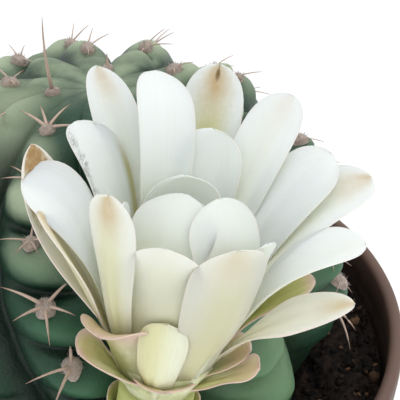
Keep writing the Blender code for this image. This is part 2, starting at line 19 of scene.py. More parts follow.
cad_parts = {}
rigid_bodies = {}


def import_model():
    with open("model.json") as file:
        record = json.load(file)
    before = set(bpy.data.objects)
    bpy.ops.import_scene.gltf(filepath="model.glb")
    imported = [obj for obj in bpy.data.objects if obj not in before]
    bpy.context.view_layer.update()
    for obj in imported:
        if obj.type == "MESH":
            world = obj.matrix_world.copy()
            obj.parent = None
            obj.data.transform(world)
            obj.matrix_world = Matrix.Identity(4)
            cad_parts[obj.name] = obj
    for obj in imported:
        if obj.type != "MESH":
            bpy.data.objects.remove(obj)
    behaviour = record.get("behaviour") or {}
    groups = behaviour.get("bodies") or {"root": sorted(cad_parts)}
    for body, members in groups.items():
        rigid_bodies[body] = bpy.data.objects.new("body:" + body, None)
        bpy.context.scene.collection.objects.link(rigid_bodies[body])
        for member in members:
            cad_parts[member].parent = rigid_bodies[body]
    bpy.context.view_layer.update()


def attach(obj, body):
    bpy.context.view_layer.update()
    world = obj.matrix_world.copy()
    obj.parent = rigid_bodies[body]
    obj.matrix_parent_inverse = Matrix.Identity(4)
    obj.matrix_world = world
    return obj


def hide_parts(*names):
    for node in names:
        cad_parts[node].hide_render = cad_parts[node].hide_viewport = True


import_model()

MM = 0.001
RIPPLE_WAVES = 7
LOG = logging.getLogger("chin_cactus")
Colour = tuple[float, float, float]
Socket = bpy.types.NodeSocket
Place = np.ndarray | Vector


def srgb(red: float, green: float, blue: float) -> Colour:
    """Turns a screen colour from 0 to 255 into the linear colour that a shader takes."""
    parts = [value / 255 for value in (red, green, blue)]
    return tuple(p / 12.92 if p <= 0.04045 else ((p + 0.055) / 1.055) ** 2.4 for p in parts)


def smooth_step(value: np.ndarray | float) -> np.ndarray | float:
    """Eases a number or an array from 0 to 1, cut off at both ends."""
    value = np.clip(value, 0, 1)
    return value * value * (3 - 2 * value)


def unit(vectors: np.ndarray) -> np.ndarray:
    """Scales vectors to length 1, along the last axis of an array."""
    return vectors / np.maximum(np.linalg.norm(vectors, axis=-1, keepdims=True), 1e-12)


def polar(radius: np.ndarray | float, turn: np.ndarray | float, height: np.ndarray | float) -> np.ndarray:
    """Finds points from their distance from the upright axis, azimuth in radians and height."""
    return np.stack(np.broadcast_arrays(radius * np.cos(turn), radius * np.sin(turn), height), -1)


def round_turns(sides: int) -> np.ndarray:
    """Gives the azimuths in radians of a ring's evenly spaced points."""
    return np.arange(sides) * math.tau / sides


def bezier(share: np.ndarray | float, start: Place, first: Place, second: Place, end: Place) -> Place:
    """Finds points a share along a cubic curve that leaves start for first and reaches end from second."""
    rest = 1 - share
    return rest**3 * start + 3 * rest**2 * share * first + 3 * rest * share**2 * second + share**3 * end


def ripple(points: np.ndarray, size: float, seed: int = 0) -> np.ndarray:
    """Gives smooth random relief in space, from a few crossed waves.

    Args:
        points: Array of points in metres.
        size: Length of one wave in metres.
        seed: Number that picks the pattern.

    Returns:
        One value from about -1 to 1 for each point.
    """
    chance = np.random.default_rng(seed)
    total = np.zeros(points.shape[:-1])
    for _ in range(RIPPLE_WAVES):
        heading = unit(chance.normal(size=3))
        total += np.sin(points @ heading * (math.tau / size) * chance.uniform(0.6, 1.5) + chance.uniform(0, math.tau))
    return total / (RIPPLE_WAVES / 2)


def loop_faces(rings: int, sides: int) -> np.ndarray:
    """Lists the four-sided faces between rings of points.

    Args:
        rings: Number of rings.
        sides: Points in each ring.

    Returns:
        Array of four point numbers for each face.
    """
    ring, side = np.meshgrid(np.arange(rings - 1), np.arange(sides), indexing="ij")
    low = ring * sides
    after = (side + 1) % sides
    return np.stack([low + side, low + after, low + sides + after, low + sides + side], -1).reshape(-1, 4)


class Draft:
    """Gathers points, faces and per-point values of one piece, and turns them into an object."""

    def __init__(self) -> None:
        """Starts an empty draft."""
        self.points: list[np.ndarray] = []
        self.faces: list[list[int]] = []
        self.values: list[dict[str, np.ndarray | float]] = []
        self.count = 0

    def add(self, points: np.ndarray, faces: Iterable[Sequence[int]], **values: np.ndarray | float) -> None:
        """Adds a part.

        Args:
            points: Array of points, of any grid shape.
            faces: Point numbers of each face, counted from 0 in this part.
            **values: A number for the part, or one number for each point, under the value's name.
        """
        points = np.asarray(points, float).reshape(-1, 3)
        self.faces.extend([[int(i) + self.count for i in face] for face in faces])
        self.points.append(points)
        self.values.append(values)
        self.count += len(points)

    def rings(self, points: np.ndarray, cap: bool = True, **values: np.ndarray | float) -> None:
        """Adds a skin through rings of points, closed at both ends by a many-sided face.

        Args:
            points: Array of rings, sides and coordinates.
            cap: Whether the two ends are closed.
            **values: As for add.
        """
        rings, sides = points.shape[:2]
        faces = loop_faces(rings, sides).tolist()
        if cap:
            faces.append(list(range(sides - 1, -1, -1)))
            faces.append(list(range((rings - 1) * sides, rings * sides)))
        self.add(points, faces, **values)

    def shape(self, name: str, home: bpy.types.Collection | None = None) -> bpy.types.Object:
        """Makes a plain object.

        Args:
            name: Its name.
            home: The collection that takes it, or None for the scene's own.

        Returns:
            The new object.
        """
        mesh = bpy.data.meshes.new(name)
        mesh.from_pydata(np.concatenate(self.points).tolist(), [], self.faces)
        made = bpy.data.objects.new(name, mesh)
        home = bpy.context.scene.collection if home is None else home
        home.objects.link(made)
        return made

    def build(self, name: str, node: str, slot: str, material: bpy.types.Material) -> bpy.types.Object:
        """Makes the piece and puts it in the frame.

        Args:
            name: The piece's name.
            node: The node of the frame that it stands for.
            slot: The record's material slot; not used.
            material: Its finish.

        Returns:
            The new object.
        """
        made = self.shape(name)
        mesh = made.data
        for key in sorted({key for values in self.values for key in values}):
            layer = mesh.attributes.new(key, "FLOAT", "POINT")
            parts = []
            for points, values in zip(self.points, self.values):
                parts.append(np.broadcast_to(np.ravel(values.get(key, 0.0)), len(points)))
            layer.data.foreach_set("value", np.concatenate(parts).astype(np.float32))
        mesh.validate()
        mesh.shade_smooth()
        mesh.materials.append(material)
        place(made, node)
        return made


def place(piece: bpy.types.Object, node: str) -> None:
    """Rides a piece on the frame in place of a node, and reports it.

    Args:
        piece: The finished piece.
        node: The node that it stands for.
    """
    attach(piece, "root")
    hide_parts(node)
    LOG.info("%s stands for %s, %d faces", piece.name, node, len(piece.data.polygons))


class NodeSketch:
    """Short ways to wire one procedural material."""

    def __init__(self, name: str) -> None:
        """Makes the material.

        Args:
            name: The material's name.
        """
        self.material = bpy.data.materials.new(name)
        self.material.use_nodes = True
        self.tree = self.material.node_tree
        self.shader = self.tree.nodes["Principled BSDF"]

    def fixed(self, **numbers: float | Colour) -> None:
        """Sets the shader's own sockets.

        Args:
            **numbers: Values under the socket's name, with _ for a space.
        """
        for key, value in numbers.items():
            socket = self.shader.inputs[key.replace("_", " ")]
            wide = isinstance(value, tuple) and len(socket.default_value) == 4
            socket.default_value = (*value, 1.0) if wide else value

    def _feed(self, socket: Socket, value: Socket | float | Colour) -> None:
        """Links a socket, or sets its number or colour."""
        if isinstance(value, bpy.types.NodeSocket):
            self.tree.links.new(value, socket)
        elif isinstance(value, tuple) and len(socket.default_value) == 4:
            socket.default_value = (*value, 1.0)
        else:
            socket.default_value = value

    def value(self, name: str) -> Socket:
        """Reads a per-point value of the mesh by its name."""
        node = self.tree.nodes.new("ShaderNodeAttribute")
        node.attribute_name = name
        return node.outputs["Fac"]

    def place(self) -> Socket:
        """Gives the point's place on the object, in metres."""
        return self.tree.nodes.new("ShaderNodeTexCoord").outputs["Object"]

    def noise(self, scale: float, detail: float = 3, vector: Socket | None = None, rough: float = 0.55) -> Socket:
        """Adds cloudy noise.

        Args:
            scale: Clouds to the metre.
            detail: Number of finer layers.
            vector: Where it is read, or None for the point's place.
            rough: Strength of the finer layers.

        Returns:
            The noise's value.
        """
        node = self.tree.nodes.new("ShaderNodeTexNoise")
        self._feed(node.inputs["Vector"], vector or self.place())
        self._feed(node.inputs["Scale"], scale)
        self._feed(node.inputs["Detail"], detail)
        self._feed(node.inputs["Roughness"], rough)
        return node.outputs["Fac"]

    def cells(self, scale: float) -> Socket:
        """Gives the distance to the nearest of scattered dots, so many to the metre."""
        node = self.tree.nodes.new("ShaderNodeTexVoronoi")
        self._feed(node.inputs["Vector"], self.place())
        self._feed(node.inputs["Scale"], scale)
        return node.outputs["Distance"]

    def join(self, x: Socket | float, y: Socket | float, z: Socket | float) -> Socket:
        """Makes a vector of three values."""
        node = self.tree.nodes.new("ShaderNodeCombineXYZ")
        for socket, value in zip(node.inputs, (x, y, z)):
            self._feed(socket, value)
        return node.outputs["Vector"]

    def sum(self, kind: str, first: Socket | float, second: Socket | float = 0.0) -> Socket:
        """Adds a Math node.

        Args:
            kind: The operation, such as MULTIPLY.
            first: Its first value.
            second: Its second value.

        Returns:
            The result, cut off at 0 and 1 only where the operation does that.
        """
        node = self.tree.nodes.new("ShaderNodeMath")
        node.operation = kind
        self._feed(node.inputs[0], first)
        self._feed(node.inputs[1], second)
        return node.outputs["Value"]

    def times(self, *values: Socket | float) -> Socket:
        """Multiplies two or more values."""
        total = values[0]
        for value in values[1:]:
            total = self.sum("MULTIPLY", total, value)
        return total

    def ease(self, value: Socket, low: float, high: float, out_low: float = 0.0, out_high: float = 1.0) -> Socket:
        """Maps a value smoothly from one range to another.

        Args:
            value: What is mapped.
            low: Value that gives out_low.
            high: Value that gives out_high.
            out_low: Result at low.
            out_high: Result at high.

        Returns:
            The eased value.
        """
        node = self.tree.nodes.new("ShaderNodeMapRange")
        node.interpolation_type = "SMOOTHSTEP"
        for socket, number in zip(node.inputs[:5], (value, low, high, out_low, out_high)):
            self._feed(socket, number)
        return node.outputs["Result"]

    def mix(self, share: Socket | float, first: Socket | Colour, second: Socket | Colour) -> Socket:
        """Blends two colours.

        Args:
            share: 0 gives the first colour and 1 the second.
            first: First colour.
            second: Second colour.

        Returns:
            The blended colour.
        """
        node = self.tree.nodes.new("ShaderNodeMix")
        node.data_type = "RGBA"
        self._feed(node.inputs[0], share)
        self._feed(node.inputs[6], first)
        self._feed(node.inputs[7], second)
        return node.outputs[2]

    def colour(self, colour: Socket) -> None:
        """Feeds the shader's base colour."""
        self._feed(self.shader.inputs["Base Color"], colour)

    def roughness(self, value: Socket) -> None:
        """Feeds the shader's roughness."""
        self._feed(self.shader.inputs["Roughness"], value)

    def bump(self, height: Socket, depth: float, strength: float = 1.0) -> None:
        """Adds relief to the shader's normal.

        Args:
            height: Relief from 0 to 1.
            depth: Depth of the relief in metres.
            strength: Share of the relief that shows.
        """
        node = self.tree.nodes.new("ShaderNodeBump")
        node.inputs["Distance"].default_value = depth
        node.inputs["Strength"].default_value = strength
        self._feed(node.inputs["Height"], height)
        self._feed(self.shader.inputs["Normal"], node.outputs["Normal"])


@dataclass(frozen=True)
class SkinFinish:
    """Waxy blue-green skin: dark in the valleys, partly as painted shade, grey-green on the chins, mottled and finely
    pitted, with painted light on the top and one side and a spot of painted shade.
    """

    valley: Colour = srgb(15, 33, 24)
    flank: Colour = srgb(32, 66, 47)
    crest: Colour = srgb(60, 102, 72)
    crown: Colour = srgb(162, 175, 146)
    fresh: Colour = srgb(104, 136, 98)

    def make(self) -> bpy.types.Material:
        """Wires the finish."""
        pad = NodeSketch("cactus_skin")
        crest = pad.value("crest")
        clouds = pad.noise(170, 4)
        drift = pad.sum("ADD", crest, pad.times(pad.sum("SUBTRACT", clouds, 0.5), 0.5))
        # Valley, flank and crest colours: partly the skin's own colour, partly painted shade in the valleys.
        base = pad.mix(pad.ease(drift, 0.05, 0.55), self.valley, self.flank)
        base = pad.mix(pad.ease(drift, 0.55, 1.12, 0, 0.85), base, self.crest)
        young = pad.value("young")
        # Painted light: the pale crown colour lightens the top, on the crests and round the sunny spot.
        lit = pad.sum("MAXIMUM", pad.ease(drift, 0.2, 0.8), pad.value("sunny"))
        unshaded = pad.sum("SUBTRACT", 1.0, young)
        top = pad.times(pad.ease(pad.value("height"), 0.66, 0.92, 0, 0.95), pad.times(lit, unshaded))
        base = pad.mix(top, base, self.crown)
        # Painted shade: one spot on the front of the top darkens to the flank colour, and the crown colour is kept
        # off it.
        base = pad.mix(pad.times(young, 0.95), base, self.flank)
        # Painted light: a lit patch on the right front side of the body.
        fresh = pad.times(pad.value("fresh"), pad.ease(drift, 0.1, 0.6, 0.75, 0.85))
        base = pad.mix(fresh, base, self.fresh)
        speck = pad.ease(pad.cells(2100), 0.12, 0.3, 0.2, 0.0)
        base = pad.mix(speck, base, self.crest)
        pad.colour(base)
        pad.roughness(pad.ease(clouds, 0.3, 0.7, 0.42, 0.58))
        grain = pad.sum("ADD", pad.noise(1400, 3), pad.times(pad.cells(1500), 0.35))
        pad.bump(grain, 0.00018, 0.6)
        pad.fixed(Specular_IOR_Level=0.3, Subsurface_Weight=0.04, Subsurface_Scale=0.002)
        return pad.material


@dataclass(frozen=True)
class WoolFinish:
    """Felted areole wool, tan with a pinkish shade."""

    light: Colour = srgb(194, 178, 166)
    dark: Colour = srgb(128, 110, 98)

    def make(self) -> bpy.types.Material:
        """Wires the finish."""
        pad = NodeSketch("areole_wool")
        pad.colour(pad.mix(pad.noise(900, 4), self.dark, self.light))
        pad.bump(pad.noise(3500, 4), 0.0003)
        pad.fixed(Roughness=0.95, Specular_IOR_Level=0.2, Sheen_Weight=0.4, Sheen_Roughness=0.5)
        return pad.material


@dataclass(frozen=True)
class SpineFinish:
    """Horn-coloured spines: pinkish tan, greyer at the foot and browner at the point."""

    foot: Colour = srgb(116, 96, 86)
    middle: Colour = srgb(190, 166, 150)
    point: Colour = srgb(148, 118, 102)

    def make(self) -> bpy.types.Material:
        """Wires the finish."""
        pad = NodeSketch("spine_horn")
        along = pad.value("along")
        base = pad.mix(pad.ease(along, 0.0, 0.3), self.foot, self.middle)
        base = pad.mix(pad.ease(along, 0.62, 1.0), base, self.point)
        streak = pad.noise(2600, 2)
        pad.colour(pad.mix(pad.ease(streak, 0.45, 0.75, 0, 0.35), base, self.foot))
        pad.bump(streak, 0.00012, 0.5)
        pad.fixed(Roughness=0.48, Specular_IOR_Level=0.5)
        return pad.material


@dataclass(frozen=True)
class PetalFinish:
    """Thin satin petal: cool white, cream-green at the foot and outside, with brown-pink smears by the tip."""

    white: Colour = srgb(224, 231, 226)
    cream: Colour = srgb(207, 207, 165)
    back: Colour = srgb(208, 210, 178)
    olive: Colour = srgb(190, 188, 128)
    blush: Colour = srgb(178, 150, 116)
    spot: Colour = srgb(92, 62, 34)
    sliver: Colour = srgb(164, 158, 104)
    brown: Colour = srgb(138, 100, 58)
    tan: Colour = srgb(198, 180, 140)
    rim: Colour = srgb(228, 210, 194)

    def make(self) -> bpy.types.Material:
        """Wires the finish."""
        pad = NodeSketch("petal_white")
        along, across, outside = pad.value("along"), pad.value("across"), pad.value("outside")
        centre = pad.sum("ABSOLUTE", across)
        clouds = pad.noise(260, 3)
        base = pad.mix(pad.ease(along, 0.72, 0.15, 0, 0.8), self.white, self.cream)
        back = pad.mix(pad.ease(along, 0.95, 0.25, 0.25, 1.0), self.white, self.back)
        base = pad.mix(outside, base, back)
        base = pad.mix(pad.value("tan"), base, self.tan)
        stripe = pad.times(pad.ease(centre, 0.9, 0.1), pad.ease(along, 1.0, 0.7), pad.value("olive"))
        base = pad.mix(stripe, base, self.olive)
        blush, tan = pad.value("blush"), pad.value("tan")
        smear = pad.times(pad.ease(along, 0.76, 0.98, 0, 0.9), pad.ease(centre, 0.95, 0.05))
        base = pad.mix(pad.times(smear, pad.ease(clouds, 0.25, 0.6, 0.65, 1.0), blush), base, self.blush)
        wide = pad.times(pad.ease(along, 0.6, 0.82), pad.ease(centre, 1.0, 0.7))
        burnt = pad.times(wide, pad.sum("SUBTRACT", blush, 1.0), pad.ease(pad.noise(1100, 4), 0.35, 0.6, 0.6, 1.0))
        base = pad.mix(pad.ease(burnt, 0, 1), base, self.brown)
        margin = pad.ease(pad.times(across, pad.value("shadow")), 0.62, 0.9)
        margin = pad.times(margin, pad.ease(along, 0.92, 0.7))
        base = pad.mix(margin, base, self.sliver)
        edge = pad.times(pad.ease(centre, 0.86, 1.0), pad.value("rim"))
        base = pad.mix(edge, base, self.rim)
        spot = pad.times(pad.ease(along, 0.955, 0.985), pad.ease(centre, 0.2, 0.08), pad.ease(tan, 0.3, 0.1))
        base = pad.mix(pad.times(spot, pad.ease(blush, 1.1, 1.2)), base, self.spot)
        strands = pad.join(pad.times(across, 16.0), pad.times(along, 1.6), pad.value("seed"))
        veins = pad.noise(1.0, 2, strands)
        base = pad.mix(pad.ease(veins, 0.5, 0.78, 0, 0.08), base, self.cream)
        pad.colour(base)
        pad.roughness(pad.ease(clouds, 0.3, 0.7, 0.46, 0.56))
        pad.bump(pad.sum("ADD", veins, pad.times(pad.noise(2400, 2), 0.12)), 0.00009, 0.5)
        pad.fixed(Subsurface_Weight=0.5, Subsurface_Scale=0.003, Subsurface_Radius=(1.0, 0.97, 0.72))
        pad.fixed(Specular_IOR_Level=0.35, Sheen_Weight=0.12, Sheen_Roughness=0.4)
        return pad.material


@dataclass(frozen=True)
class ScaleFinish:
    """Fleshy scales and tube: yellow-green, paler at the foot, with pink margins and tips, and a painted highlight
    towards one side.
    """

    green: Colour = srgb(168, 174, 104)
    pale: Colour = srgb(216, 214, 164)
    pink: Colour = srgb(216, 184, 170)
    painted_highlight: Colour = srgb(232, 236, 208)
    tan: Colour = srgb(206, 184, 152)

    def make(self) -> bpy.types.Material:
        """Wires the finish."""
        pad = NodeSketch("scale_green")
        along, across, outside = pad.value("along"), pad.value("across"), pad.value("outside")
        centre = pad.sum("ABSOLUTE", across)
        clouds = pad.noise(320, 4)
        tone = pad.sum("SUBTRACT", pad.ease(clouds, 0.3, 0.7, 0.45, 0.8), pad.value("olive"))
        # Painted highlight: the colour turns whiter towards one side of each blade.
        light = pad.mix(pad.ease(across, -0.5, 0.6, 0, 0.8), self.pale, self.painted_highlight)
        base = pad.mix(pad.ease(tone, 0, 1), self.green, light)
        flush = pad.times(pad.ease(along, 0.45, 1.0, 0, 0.9), pad.value("blush"))
        tinted = pad.mix(pad.ease(outside, 0, 1), self.tan, self.pink)
        base = pad.mix(flush, base, tinted)
        edge = pad.sum("MAXIMUM", pad.ease(centre, 0.66, 0.98), pad.ease(along, 0.9, 1.0))
        edge = pad.times(edge, pad.value("rim"))
        base = pad.mix(edge, base, self.pink)
        strands = pad.join(pad.times(across, 12.0), pad.times(along, 1.6), pad.value("seed"))
        veins = pad.noise(1.0, 2, strands)
        pad.colour(pad.mix(pad.ease(veins, 0.5, 0.8, 0, 0.25), base, self.pale))
        pad.bump(pad.sum("ADD", veins, pad.times(clouds, 0.3)), 0.0002, 0.7)
        pad.fixed(Roughness=0.38, Specular_IOR_Level=0.4)
        pad.fixed(Subsurface_Weight=0.35, Subsurface_Scale=0.002, Subsurface_Radius=(1.0, 0.95, 0.75))
        return pad.material


@dataclass(frozen=True)
class PowderFinish:
    """Pollen-dusted anthers on pale filaments."""

    pollen: Colour = srgb(226, 194, 96)
    grain: Colour = srgb(176, 138, 58)
    thread: Colour = srgb(226, 224, 180)

    def make(self) -> bpy.types.Material:
        """Wires the finish."""
        pad = NodeSketch("stamen_pollen")
        grains = pad.noise(4200, 3)
        powder = pad.mix(pad.ease(grains, 0.4, 0.7), self.grain, self.pollen)
        pad.colour(pad.mix(pad.value("anther"), self.thread, powder))
        pad.bump(grains, 0.0002)
        pad.fixed(Roughness=0.8, Subsurface_Weight=0.1, Subsurface_Scale=0.001)
        return pad.material


@dataclass(frozen=True)
class StyleFinish:
    """Cream style with a velvety stigma."""

    cream: Colour = srgb(228, 224, 182)
    lobe: Colour = srgb(232, 216, 150)

    def make(self) -> bpy.types.Material:
        """Wires the finish."""
        pad = NodeSketch("style_cream")
        pad.colour(pad.mix(pad.ease(pad.value("along"), 0.3, 0.8), self.cream, self.lobe))
        pad.bump(pad.noise(3800, 3), 0.00015)
        pad.fixed(Roughness=0.6, Subsurface_Weight=0.15, Subsurface_Scale=0.0012)
        return pad.material


@dataclass(frozen=True)
class MixFinish:
    """Dark peat with brown fibres and bits of bark."""

    peat: Colour = srgb(26, 23, 22)
    brown: Colour = srgb(58, 46, 38)
    bark: Colour = srgb(128, 98, 76)

    def make(self, name: str) -> bpy.types.Material:
        """Wires the finish.

        Args:
            name: The material's name.

        Returns:
            The material.
        """
        pad = NodeSketch(name)
        crumbs = pad.noise(700, 6, rough=0.7)
        base = pad.mix(pad.ease(crumbs, 0.42, 0.68), self.peat, self.brown)
        pad.colour(pad.mix(pad.ease(pad.value("bark"), 0.0, 1.0), base, self.bark))
        pad.bump(pad.sum("ADD", crumbs, pad.noise(2600, 4)), 0.0007)
        pad.fixed(Roughness=0.97, Specular_IOR_Level=0.15)
        return pad.material


@dataclass(frozen=True)
class PotFinish:
    """Matt moulded plastic, terracotta brown, with faint scuffs, a lime bloom by the rim and painted shade on the
    inside wall.
    """

    brown: Colour = srgb(104, 79, 66)
    deep: Colour = srgb(92, 68, 60)
    bloom: Colour = srgb(156, 136, 122)
    inner_shade: Colour = srgb(40, 32, 28)

    def make(self) -> bpy.types.Material:
        """Wires the finish."""
        pad = NodeSketch("pot_plastic")
        clouds = pad.noise(38, 4)
        base = pad.mix(pad.ease(clouds, 0.35, 0.7), self.deep, self.brown)
        scuffs = pad.ease(pad.noise(420, 6, rough=0.75), 0.6, 0.78, 0, 0.35)
        rim = pad.ease(pad.value("rim"), 0.0, 1.0, 0.15, 1.0)
        base = pad.mix(pad.times(scuffs, rim), base, self.bloom)
        # Painted shade: dark soil-coloured smears on the inside wall, where it lies in shade.
        inner_shade_share = pad.times(pad.value("within"), pad.ease(pad.noise(160, 5), 0.3, 0.62, 0.55, 0.95))
        pad.colour(pad.mix(inner_shade_share, base, self.inner_shade))
        pad.roughness(pad.ease(clouds, 0.3, 0.7, 0.48, 0.62))
        pad.bump(pad.noise(2300, 3), 0.00012, 0.5)
        pad.fixed(Specular_IOR_Level=0.45)
        return pad.material


@dataclass(frozen=True)
class DewFinish:
    """Clear water."""

    def make(self) -> bpy.types.Material:
        """Wires the finish."""
        pad = NodeSketch("dew")
        pad.fixed(Base_Color=(1.0, 1.0, 1.0), Roughness=0.03, Transmission_Weight=1.0, IOR=1.33)
        return pad.material


@dataclass(frozen=True)
class FloorFinish:
    """Pale matt floor."""

    white: Colour = (0.93, 0.93, 0.93)

    def make(self) -> bpy.types.Material:
        """Wires the finish."""
        pad = NodeSketch("floor_pale")
        pad.fixed(Base_Color=self.white, Roughness=0.9, Specular_IOR_Level=0.1)
        return pad.material


@dataclass
class Pot:
    """Round pot with a collar, a rounded rim and four drain holes."""

    height: float = 100 * MM
    rim_radius: float = 61.3 * MM
    foot_radius: float = 45 * MM
    wall: float = 2.8 * MM
    floor: float = 4 * MM
    collar: float = 19 * MM
    collar_step: float = 3.4 * MM
    rounding: float = 1.3 * MM
    drain_holes: int = 4
    drain_radius: float = 4 * MM
    drain_circle: float = 26 * MM
    sides: int = 160
    collar_taper: float = 1.2 * MM
    foot_rounding: float = 1.5 * MM
    inside_step: float = 0.4 * MM
    inner_rim_points: int = 7

    def wall_radius(self, height: float) -> float:
        """Gives the outside radius of the wall below the collar at a height."""
        top = self.rim_radius - self.collar_step - self.collar_taper
        return self.foot_radius + (top - self.foot_radius) * height / (self.height - self.collar)

    def inside_radius(self, height: float) -> float:
        """Gives the inside radius at a height, with the step into the collar."""
        foot = self.height - self.collar
        if height < foot:
            return self.wall_radius(height) - self.wall
        low = self.wall_radius(foot) - self.wall + self.inside_step
        return low + (self.rim_radius - self.wall - low) * min(1, 3 * (height - foot) / self.collar)

    def profile(self) -> list[tuple[float, float]]:
        """Lists radius and height from the underside up the outside and down the inside."""
        foot = self.height - self.collar
        corner = self.foot_rounding
        line = [(0.0, 0.0), (self.foot_radius - corner, 0.0)]
        line += self.turn(self.foot_radius - corner, corner, corner, -90, 0, 5)
        line += [(self.wall_radius(z), z) for z in np.linspace(4 * MM, foot - 0.6 * MM, 12)]
        line += [(self.wall_radius(foot) + 0.5 * MM, foot - 0.1 * MM), (self.rim_radius - 1.9 * MM, foot + 0.2 * MM)]
        line += [(self.rim_radius - 1.3 * MM, foot + 0.8 * MM)]
        for share in (0.1, 0.4, 0.7, 1):
            line.append((self.rim_radius - self.collar_taper * (1 - share), foot + (1.2 + 14 * share) * MM))
        line += self.turn(self.rim_radius - self.rounding, self.height - self.rounding, self.rounding, 0, 90, 6)
        inner = self.rim_radius - self.wall + self.rounding
        line += self.turn(inner, self.height - self.rounding, self.rounding, 90, 180, 6)
        for z in (foot + 12 * MM, foot + self.collar / 3, foot + 2.5 * MM, foot + 0.2 * MM, foot - 1 * MM):
            line.append((self.inside_radius(z), z))
        line += [(self.inside_radius(z), z) for z in np.linspace(foot - 4 * MM, self.floor, 8)]
        line.append((0.0, self.floor))
        return line

    @staticmethod
    def turn(radius: float, height: float, size: float, start: float, stop: float, steps: int) -> list:
        """Lists radius and height of points on a round corner, with 0 degrees outward and 90 up."""
        angles = np.radians(np.linspace(start, stop, steps))
        return [(radius + size * math.cos(a), height + size * math.sin(a)) for a in angles]

    def build(self) -> None:
        """Turns the profile, drills the drain holes and dresses the pot."""
        line = self.profile()
        turns = round_turns(self.sides)
        inner = np.array(line[1:-1])
        rings = polar(inner[:, :1], turns, inner[:, 1:])
        draft = Draft()
        near_rim = smooth_step((rings[..., 2] - 78 * MM) / (20 * MM))
        # within marks the inside wall, which takes painted shade in the finish.
        within = np.zeros(len(inner))
        within[int(np.argmax(inner[:, 1])) + self.inner_rim_points :] = 1.0
        draft.rings(rings, rim=near_rim, within=np.repeat(within, self.sides))
        pot = draft.build("pot_shell", "pot", "pot", PotFinish().make())
        drills = bpy.data.collections.new("drills")
        bpy.context.scene.collection.children.link(drills)
        for hole in range(self.drain_holes):
            turn = math.tau * (hole + 0.5) / self.drain_holes
            bore = Draft()
            centre = np.array([math.cos(turn), math.sin(turn), 0]) * self.drain_circle
            levels = np.array([-2.0, 9.0])[:, None, None] * np.array([0, 0, MM])
            bore.rings(centre + polar(1.0, turns[::5], 0.0) * self.drain_radius + levels)
            bore.shape("drill", drills)
        cut = pot.modifiers.new("drain", "BOOLEAN")
        cut.operand_type, cut.collection = "COLLECTION", drills
        cut.operation, cut.solver = "DIFFERENCE", "EXACT"
        bpy.context.view_layer.update()
        graph = bpy.context.evaluated_depsgraph_get()
        drilled = bpy.data.meshes.new_from_object(pot.evaluated_get(graph))
        pot.modifiers.clear()
        pot.data = drilled
        for drill in list(drills.objects):
            bpy.data.objects.remove(drill)
        bpy.data.collections.remove(drills)
        pot.data.shade_smooth()
        pot.data.set_sharp_from_angle(angle=math.radians(40))


